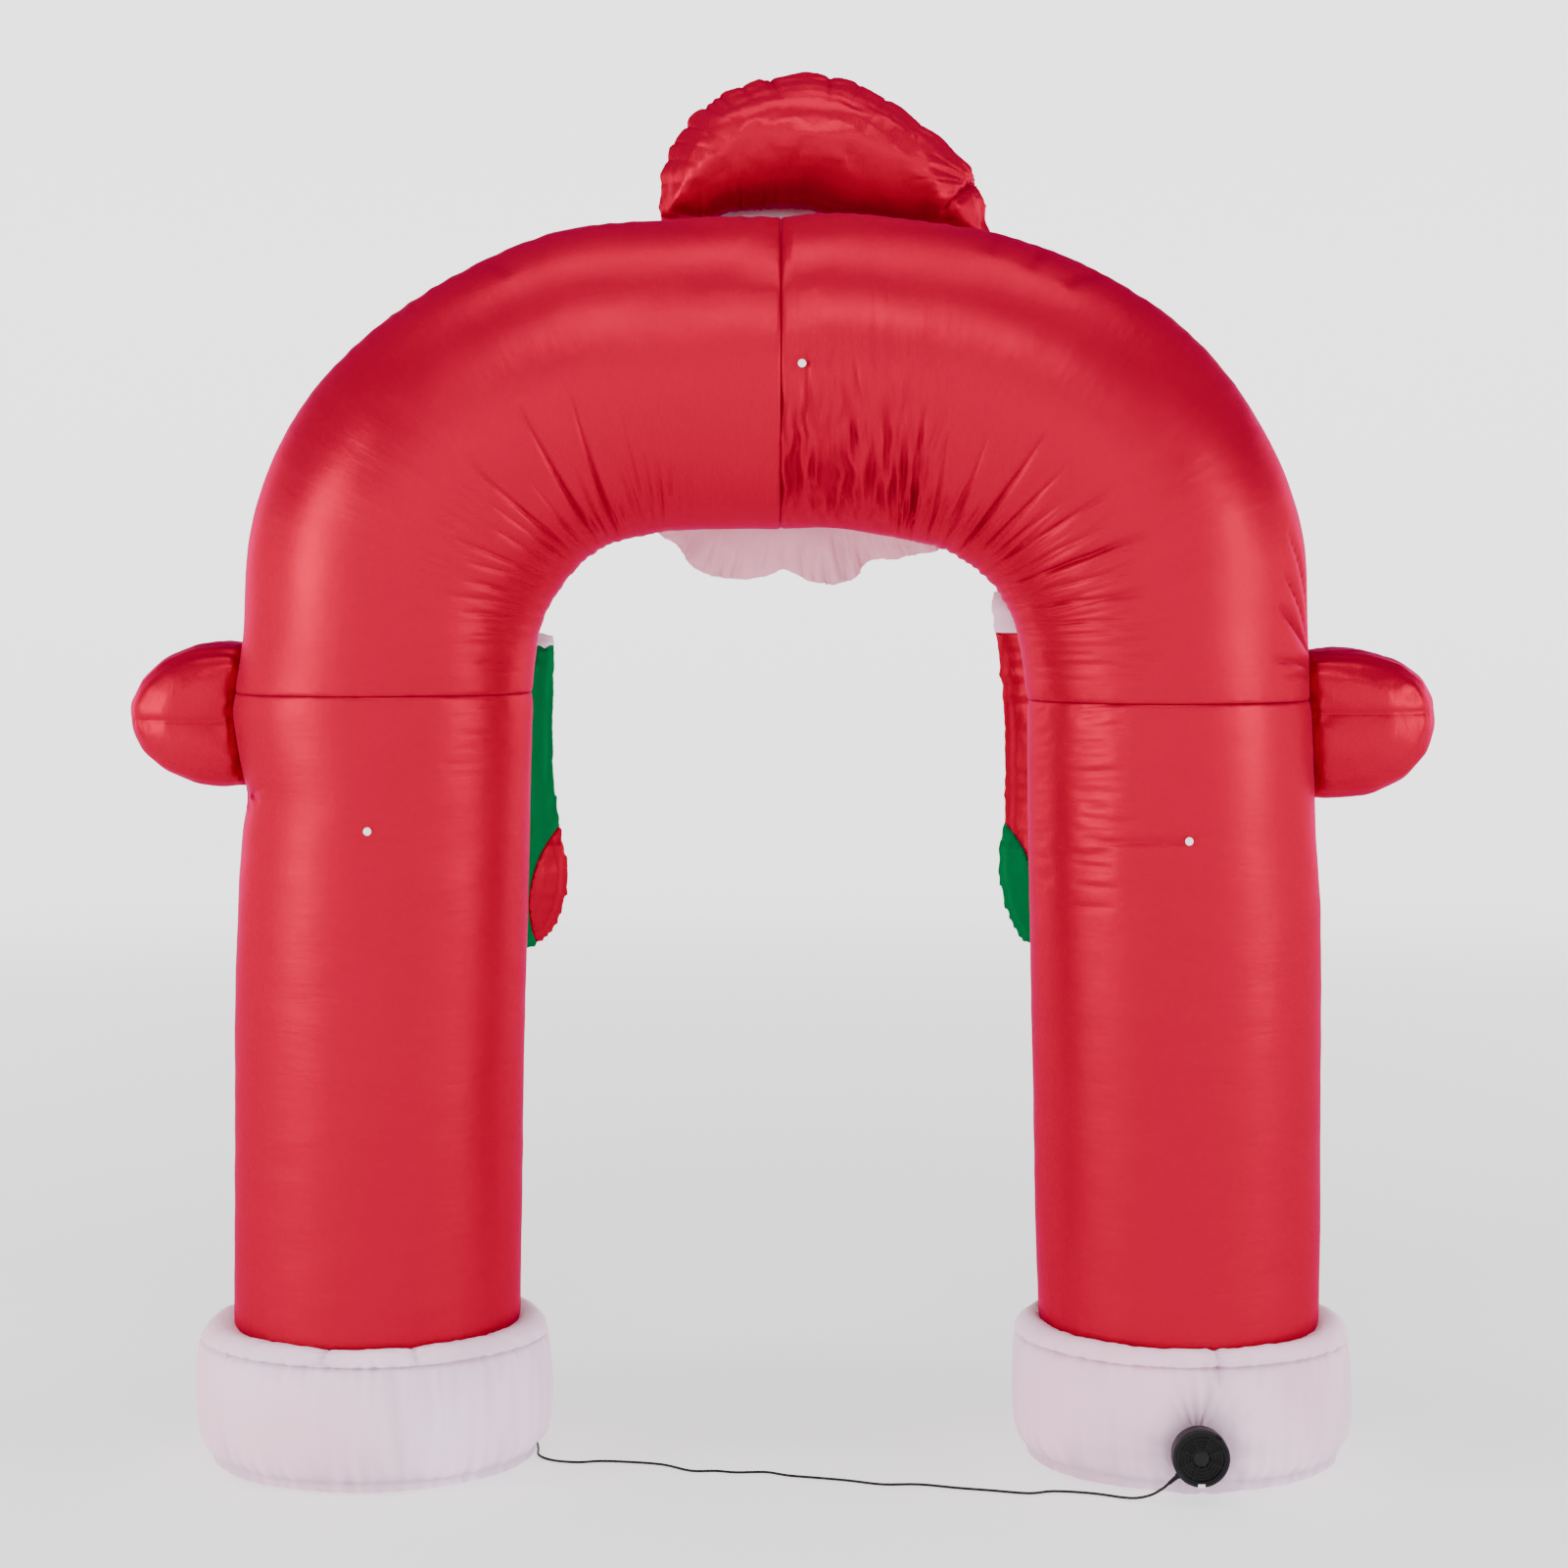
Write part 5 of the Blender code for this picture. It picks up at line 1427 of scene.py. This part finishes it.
def make_blower(material, film):
    """The blower's face: a stepped drum, a grille of rings and spokes, and a blank sticker."""
    low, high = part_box("blower_housing")
    radius = (high.x - low.x) / 2.0
    depth = high.y - low.y
    place = back_of("blower_housing")
    inner = half_of("blower_grille").x
    floor = depth - 0.0075
    drum = turned((
        (0.0, 0.0), (radius - 0.0015, 0.0), (radius - 0.0015, 0.010), (radius, 0.0115),
        (radius, depth - 0.006), (radius - 0.0008, depth - 0.0052),
        (radius - 0.0008, depth - 0.0044), (radius, depth - 0.0036), (radius, depth - 0.0016),
        (radius - 0.0004, depth - 0.0006), (radius - 0.0016, depth), (inner + 0.0022, depth),
        (inner + 0.0008, depth - 0.0008), (inner + 0.0004, depth - 0.002),
        (inner + 0.0004, floor), (0.018, floor), (0.0165, floor + 0.002),
        (0.012, floor + 0.0032), (0.0, floor + 0.0036)), 96)
    housing = lathe_piece("blower_drum", drum, place)
    notch = bmesh.new()
    bmesh.ops.create_cube(notch, size=1.0)
    turn = Matrix.Rotation(NOTCH_TURN, 4, "Y")
    rim = Matrix.Translation((radius, 0.0, 0.0))
    spot = Matrix.Translation((place.x, low.y, place.z)) @ turn @ rim
    bmesh.ops.transform(
        notch, matrix=spot @ Matrix.Diagonal((*NOTCH_SIZE, 1.0)), verts=notch.verts)
    cutter = link("rim_notch", mesh_from("rim_notch", notch))
    add_modifier(housing, "notch", "BOOLEAN", object=cutter, operation="DIFFERENCE", solver="EXACT")
    settle(housing)
    bpy.data.objects.remove(cutter)
    housing.data.set_sharp_from_angle(angle=SHARP)
    fit(housing, material, "blower_plastic", "blower_housing")

    seat = Vector((place.x, back_of("blower_grille").y, place.z))
    grille = bmesh.new()
    for ring in GRILLE_RINGS:
        hoop(grille, ring, 0.0016, 0.0018, 72)
    hoop(grille, inner - 0.0016, 0.0032, 0.0018, 72)
    bmesh.ops.remove_doubles(grille, verts=grille.verts, dist=1e-6)
    hub = turned((
        (0.0, 0.0), (0.0135, 0.0), (0.0135, 0.0016), (0.0130, 0.0021), (0.0095, 0.0021),
        (0.0090, 0.0017), (0.0, 0.0017)), 64)
    hub_mesh = mesh_from("hub", hub)
    grille.from_mesh(hub_mesh)
    bpy.data.meshes.remove(hub_mesh)
    spoke_length = inner - 0.0028 - SPOKE_START
    for index in range(GRILLE_SPOKES):
        turn = Matrix.Rotation(2.0 * pi * (index + 0.5) / GRILLE_SPOKES, 4, "Z")
        out = Matrix.Translation((SPOKE_START + spoke_length / 2.0, 0.0, 0.00085))
        bar = bmesh.ops.create_cube(grille, size=1.0)["verts"]
        size = Matrix.Diagonal((spoke_length, 0.0019, 0.0015, 1.0))
        bmesh.ops.transform(grille, matrix=turn @ out @ size, verts=bar)
    fit(lathe_piece("blower_guard", grille, seat), material, "blower_plastic", "blower_grille")
    dress(film, "blower_label")


def make_button(node, material):
    """A light button: a flanged collar and a small milky dome."""
    low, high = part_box(node)
    radius = (high.x - low.x) / 2.0
    depth = high.y - low.y
    dome = [(radius * 0.62 * cos(a), depth * 0.55 + depth * 0.45 * sin(a))
            for a in (radians(10.0 * step) for step in range(0, 9))]
    button = turned((
        (0.0, 0.0), (radius, 0.0), (radius, depth * 0.32), (radius * 0.94, depth * 0.45),
        (radius * 0.66, depth * 0.50), *dome, (0.0, depth)), 32)
    fit(lathe_piece(f"{node}_lens", button, back_of(node)), material, "button_plastic", node)


# ---- cord

CORD_DIAMETER = 0.005
CORD_FLOOR_Z = 0.0027      # height of its middle line where it lies on the ground
FRAME_SHIFT = Vector((0.0011, -0.0205, 0.0))     # from the route's own origin to the frame's
RELIEF_TURN = radians(220.0)           # where on the blower the strain relief stands
CORD_EXIT_Y = -0.329
CORD_STRAIGHT = 0.006      # metres it runs on straight out of the strain relief
CORD_START = ((0.686, -0.329, 0.0310), (0.666, -0.323, 0.0175), (0.640, -0.308, 0.0070))
CORD_ON_FLOOR = (
    # x, y
    (0.610, -0.287), (0.560, -0.263), (0.495, -0.251), (0.448, -0.264), (0.380, -0.246),
    (0.318, -0.230), (0.249, -0.208), (0.182, -0.208), (0.121, -0.184), (0.066, -0.167),
    (0.008, -0.151), (-0.034, -0.129), (-0.089, -0.131), (-0.128, -0.121), (-0.175, -0.120),
    (-0.230, -0.079), (-0.300, -0.061), (-0.350, -0.056), (-0.392, -0.064), (-0.440, -0.050),
    (-0.468, -0.016), (-0.473, 0.032), (-0.481, 0.082), (-0.503, 0.142), (-0.548, 0.207),
    (-0.610, 0.258), (-0.675, 0.291), (-0.730, 0.306),
)
COIL_TURNS = 6             # whole turns: the first comes in from outside, the last leaves again
# Where each turn lies, out of the turns' middle and up, both in cord diameters.
COIL_STRANDS = (
    (0.87, -0.50), (0.00, -1.00), (-0.87, -0.50), (-0.87, 0.50), (0.00, 1.00), (0.87, 0.50),
    (0.00, 0.00),
)
COIL_FROM = (2.02, -1.02)  # where the cord comes from, counted in the same way
STRAND_STEP = 1.02         # cord diameters from strand to strand
POINTS_A_TURN = 24
INTO_PLUG = 6              # points between the coil and the plug
TOUCH = 0.0003             # gap left between two pieces that meet
RELIEF_OFF = 0.0009        # gap between the drum and the strain relief
RELIEF_LENGTH = 0.0220


def relief_seat():
    """Foot of the strain relief at the blower, and the way it points."""
    blower = middle_of("blower_housing")
    out = Vector((cos(RELIEF_TURN), 0.0, sin(RELIEF_TURN)))
    foot = Vector((blower.x, CORD_EXIT_Y + FRAME_SHIFT.y, blower.z))
    return foot + out * (half_of("blower_housing").x + RELIEF_OFF), out


def cord_route():
    """Points of the cord's middle line from the strain relief over the floor to the coil."""
    gland, out = relief_seat()
    leave = gland + out * (RELIEF_LENGTH + TOUCH)
    coil = middle_of("cord_coil")
    lead_in = coil.y - half_of("cord_coil").x - CORD_DIAMETER / 2.0 - TOUCH
    route = [tuple(leave - FRAME_SHIFT), tuple(leave + out * CORD_STRAIGHT - FRAME_SHIFT)]
    route += [*CORD_START, *((x, y, CORD_FLOOR_Z) for x, y in CORD_ON_FLOOR)]
    points = [Vector(point) + FRAME_SHIFT for point in route]
    return [*points, Vector((coil.x, lead_in, CORD_FLOOR_Z))]


def make_cord(jacket, pin):
    """The supply cord with its relief, wound length, tie and plug."""
    coil, half = middle_of("cord_coil"), half_of("cord_coil")
    rows = [tuple(point) for point in cord_route()]
    line = [Vector(on_profile(rows, index / 4.0)) for index in range(4 * (len(rows) - 1) + 1)]
    for point in line:
        point.z = max(point.z, CORD_FLOOR_Z)
    step = CORD_DIAMETER * STRAND_STEP
    for index in range(1, COIL_TURNS * POINTS_A_TURN + 1):
        turn = -pi / 2.0 - 2.0 * pi * index / POINTS_A_TURN
        place = index / POINTS_A_TURN
        strand = min(len(COIL_STRANDS) - 1, int(place))
        share = smooth(min(1.0, (place - strand) * 3.0))
        before = COIL_STRANDS[strand - 1] if strand else COIL_FROM
        out, up = ((old + (new - old) * share) * step
                   for old, new in zip(before, COIL_STRANDS[strand]))
        radius = half.x - half.z + out
        line.append(Vector((coil.x + radius * cos(turn), coil.y + radius * sin(turn),
                            max(CORD_FLOOR_Z, coil.z + up))))
    last, plug = line[-1], middle_of("plug_body")
    end = Vector((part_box("plug_body")[1].x + TOUCH, plug.y, plug.z))
    for index in range(1, INTO_PLUG + 1):
        share = index / INTO_PLUG
        line.append(Vector(
            start + (finish - start) * way
            for start, finish, way in zip(last, end, (share, smooth(share), smooth(share)))))
    curve = bpy.data.curves.new("supply_cord", "CURVE")
    curve.dimensions = "3D"
    curve.bevel_depth = CORD_DIAMETER / 2.0
    curve.bevel_resolution = 3
    curve.use_fill_caps = True
    spline = curve.splines.new("POLY")
    spline.points.add(len(line) - 1)
    for target, point in zip(spline.points, line):
        target.co = (*point, 1.0)
    cord = link("supply_cord", curve)
    fit(cord, jacket, "cord_rubber", "cord", "cord_coil")
    rubber, pins = ("cord_tie", "plug_body"), ("plug_pin_a", "plug_pin_b")
    dress(jacket, *rubber)
    dress(pin, *pins)
    pieces = [make_relief(jacket), *(NODES[name] for name in rubber + pins)]


def make_relief(jacket):
    """The ribbed, tapered strain relief at the blower."""
    start, out = relief_seat()
    profile = [(0.0, 0.0), (0.0060, 0.0), (0.0060, 0.0026), (0.0056, 0.0030), (0.0047, 0.0032)]
    for rib in range(5):
        along = 0.0045 + 0.0035 * rib
        thick = 0.0046 - 0.00022 * rib
        profile += [(thick - 0.0007, along), (thick - 0.0007, along + 0.0008),
                    (thick, along + 0.0011), (thick, along + 0.0030)]
    profile += [(0.0033, RELIEF_LENGTH), (0.0, RELIEF_LENGTH)]
    turn = out.to_track_quat("Z", "Y").to_matrix().to_4x4()
    relief = lathe_piece("strain_relief", turned(profile, 32), start, turn, radians(35.0))
    return fit(relief, jacket, "cord_rubber", "cord_relief")


# ---- stage

PICTURE = 1601.0           # width and height of the rendered picture in pixels
HORIZON_ROW = 600.0        # row that is level with the camera
# Soft lights: name, place, what they point at, size, which power of the stage, share of it.
LIGHTS = (
    ("side_light_left", (-4.6, -2.4, 2.2), (0.0, 0.0, 1.3), (1.6, 3.2), "key", 1.0),
    ("far_light_left", (-4.6, 4.6, 2.2), (0.0, 0.0, 1.3), (1.6, 3.2), "far", 1.0),
    ("side_light_right", (4.6, -2.4, 2.2), (0.0, 0.0, 1.3), (1.6, 3.2), "key", 0.72),
    ("far_light_right", (4.6, 4.6, 2.2), (0.0, 0.0, 1.3), (1.6, 3.2), "far", 1.0),
    ("top_light", (0.0, -4.4, 5.2), (0.0, 0.0, 1.8), (4.5, 1.0), "top", 1.0),
    ("overhead_light", (0.0, -0.3, 5.4), (0.0, 0.0, 1.8), (5.0, 1.4), "overhead", 1.0),
)
FLOOR_UNDER = 0.001        # how far the floor lies below the object, against flicker
DISH = (
    # radius, height of the floor that turns up into a wall all round
    (0.0, 0.0), (2.0, 0.0), (4.0, 0.0), (6.0, 0.0), (8.0, 0.0), (10.0, 0.0), (11.0, 0.0),
    (11.8, 0.12), (12.5, 0.45), (13.1, 1.0), (13.5, 1.7), (13.8, 2.6), (13.9, 3.6), (14.0, 5.6),
)


def soft_light(name, place, target, size, power):
    """A rectangular soft light that points at a target."""
    light = bpy.data.lights.new(name, "AREA")
    light.shape = "RECTANGLE"
    light.size, light.size_y = size
    light.energy = power
    lamp = link(name, light)
    lamp.location = place
    lamp.visible_camera = False
    way = Vector(target) - lamp.location
    lamp.rotation_euler = way.to_track_quat("-Z", "Y").to_euler()


def make_stage(stage, material):
    """Pale floor that turns up into a backdrop all round, soft lights, surround and camera."""
    dish = turned([(radius, height - FLOOR_UNDER) for radius, height in DISH], 96, join=1e-5)
    floor = link("floor", mesh_from("floor", dish))
    floor.data.materials.append(material)
    for name, place, target, size, power, share in LIGHTS:
        soft_light(name, place, target, size, share * getattr(stage, power))
    world = bpy.data.worlds.new("surround")
    bpy.context.scene.world = world
    world.use_nodes = True
    background = world.node_tree.nodes["Background"]
    background.inputs["Color"].default_value = (1.0, 1.0, 1.0, 1.0)
    background.inputs["Strength"].default_value = stage.surround
    lens = bpy.data.cameras.new("camera")
    lens.lens = stage.focal
    lens.sensor_width = 36.0
    lens.shift_y = -(PICTURE / 2.0 - HORIZON_ROW) / PICTURE
    lens.clip_end = 100.0
    camera = link("camera", lens)
    camera.location = (FRAME_SHIFT.x, AXIS_Y - stage.distance, stage.height)
    camera.rotation_euler = (pi / 2.0, 0.0, 0.0)
    bpy.context.scene.camera = camera


# ---- operators

class ArchOperator:
    """What all operators of the arch share."""
    bl_options = {"REGISTER", "UNDO"}

    def execute(self, context):
        scene = context.scene
        self.build(scene.arch_sizes, finishes(scene.arch_colours, scene.arch_stage), scene)
        return {"FINISHED"}


class ARCH_OT_legs(ArchOperator, bpy.types.Operator):
    """Blow up both legs"""
    bl_idname = "arch.legs"
    bl_label = "Legs"

    def build(self, sizes, cloth, scene):
        for side in SIDES:
            make_leg(side, sizes, cloth["red"])


class ARCH_OT_crown(ArchOperator, bpy.types.Operator):
    """Blow up both halves of the crown"""
    bl_idname = "arch.crown"
    bl_label = "Crown"

    def build(self, sizes, cloth, scene):
        for side in SIDES:
            make_crown(side, sizes, cloth["red"])


class ARCH_OT_bases(ArchOperator, bpy.types.Operator):
    """Blow up both bases"""
    bl_idname = "arch.bases"
    bl_label = "Bases"

    def build(self, sizes, cloth, scene):
        for side in SIDES:
            make_base(side, sizes, cloth["white"])


class ARCH_OT_cut(ArchOperator, bpy.types.Operator):
    """Cut out and sew all cushions"""
    bl_idname = "arch.cut"
    bl_label = "Cut Cushions"

    def build(self, sizes, cloth, scene):
        cut_cushions(sizes)


class ARCH_OT_fill(ArchOperator, bpy.types.Operator):
    """Fill the sewn cushions with air"""
    bl_idname = "arch.fill"
    bl_label = "Fill Cushions"

    def build(self, sizes, cloth, scene):
        fill_cushions(sizes)


class ARCH_OT_arms(ArchOperator, bpy.types.Operator):
    """Finish both arms"""
    bl_idname = "arch.arms"
    bl_label = "Arms"

    def build(self, sizes, cloth, scene):
        for side in SIDES:
            make_arm(side, cloth["red_cushion"])


class ARCH_OT_cap(ArchOperator, bpy.types.Operator):
    """Finish the cap, the band under it and the plain panel"""
    bl_idname = "arch.cap"
    bl_label = "Cap, Band and Panel"

    def build(self, sizes, cloth, scene):
        make_cap(cloth["red_cushion"])
        make_plain_cushion("cap_band", cloth["white_cushion"], "white_cloth", 0.8)
        make_plain_cushion("face_panel", cloth["panel"], "panel_cloth", 0.8)


class ARCH_OT_beard(ArchOperator, bpy.types.Operator):
    """Finish the scalloped beard"""
    bl_idname = "arch.beard"
    bl_label = "Beard"

    def build(self, sizes, cloth, scene):
        make_beard(cloth["beard"])


class ARCH_OT_stockings(ArchOperator, bpy.types.Operator):
    """Finish both stockings"""
    bl_idname = "arch.stockings"
    bl_label = "Stockings"

    def build(self, sizes, cloth, scene):
        make_stocking(
            "left", cloth["green"], cloth["white_cushion"], cloth["red_cushion"],
            ("white_cloth", "green_cloth", "red_cloth"))
        make_stocking(
            "right", cloth["red_cushion"], cloth["cuff"], cloth["green"],
            ("cuff_cloth", "red_cloth", "green_cloth"))


class ARCH_OT_blower(ArchOperator, bpy.types.Operator):
    """Fit the blower's face and the light buttons"""
    bl_idname = "arch.blower"
    bl_label = "Blower and Buttons"

    def build(self, sizes, cloth, scene):
        make_blower(cloth["blower"], cloth["label"])
        for node in ("button_left", "button_right", "button_middle"):
            make_button(node, cloth["button"])


class ARCH_OT_cord(ArchOperator, bpy.types.Operator):
    """Lay the supply cord"""
    bl_idname = "arch.cord"
    bl_label = "Cord"

    def build(self, sizes, cloth, scene):
        make_cord(cloth["cord"], cloth["pin"])


class ARCH_OT_stage(ArchOperator, bpy.types.Operator):
    """Set up floor, lights, surround and camera"""
    bl_idname = "arch.stage"
    bl_label = "Stage"

    def build(self, sizes, cloth, scene):
        make_stage(scene.arch_stage, cloth["floor"])


OPERATORS = (
    ARCH_OT_stage, ARCH_OT_cord, ARCH_OT_legs, ARCH_OT_crown, ARCH_OT_bases, ARCH_OT_cut,
    ARCH_OT_fill, ARCH_OT_arms, ARCH_OT_cap, ARCH_OT_beard, ARCH_OT_stockings, ARCH_OT_blower)


GROUPS = {"arch_sizes": ArchSizes, "arch_colours": ArchColours, "arch_stage": ArchStage}


class ARCH_PT_panel(bpy.types.Panel):
    """Sidebar panel of the arch"""
    bl_idname = "ARCH_PT_panel"
    bl_label = "Inflatable Arch"
    bl_space_type = "VIEW_3D"
    bl_region_type = "UI"
    bl_category = "Arch"

    def draw(self, context):
        for operator in OPERATORS:
            self.layout.operator(operator.bl_idname)
        for settings in GROUPS:
            group, box = getattr(context.scene, settings), self.layout.box()
            for name in group.bl_rna.properties.keys():
                if name not in {"rna_type", "name"}:
                    box.prop(group, name)


def register():
    """Register the settings, operators and panel."""
    for name, group in GROUPS.items():
        bpy.utils.register_class(group)
        setattr(bpy.types.Scene, name, PointerProperty(type=group))
    for operator in (*OPERATORS, ARCH_PT_panel):
        bpy.utils.register_class(operator)


def unregister():
    """Take the add-on's classes and settings away again."""
    for operator in reversed((*OPERATORS, ARCH_PT_panel)):
        bpy.utils.unregister_class(operator)
    for name, group in GROUPS.items():
        delattr(bpy.types.Scene, name)
        bpy.utils.unregister_class(group)


def main():
    """Build the whole arch."""
    register()
    bpy.ops.arch.stage()
    bpy.ops.arch.cord()
    bpy.ops.arch.legs()
    bpy.ops.arch.crown()
    bpy.ops.arch.bases()
    bpy.ops.arch.cut()
    bpy.ops.arch.fill()
    bpy.ops.arch.arms()
    bpy.ops.arch.cap()
    bpy.ops.arch.beard()
    bpy.ops.arch.stockings()
    bpy.ops.arch.blower()


if __name__ == "__main__":
    main()
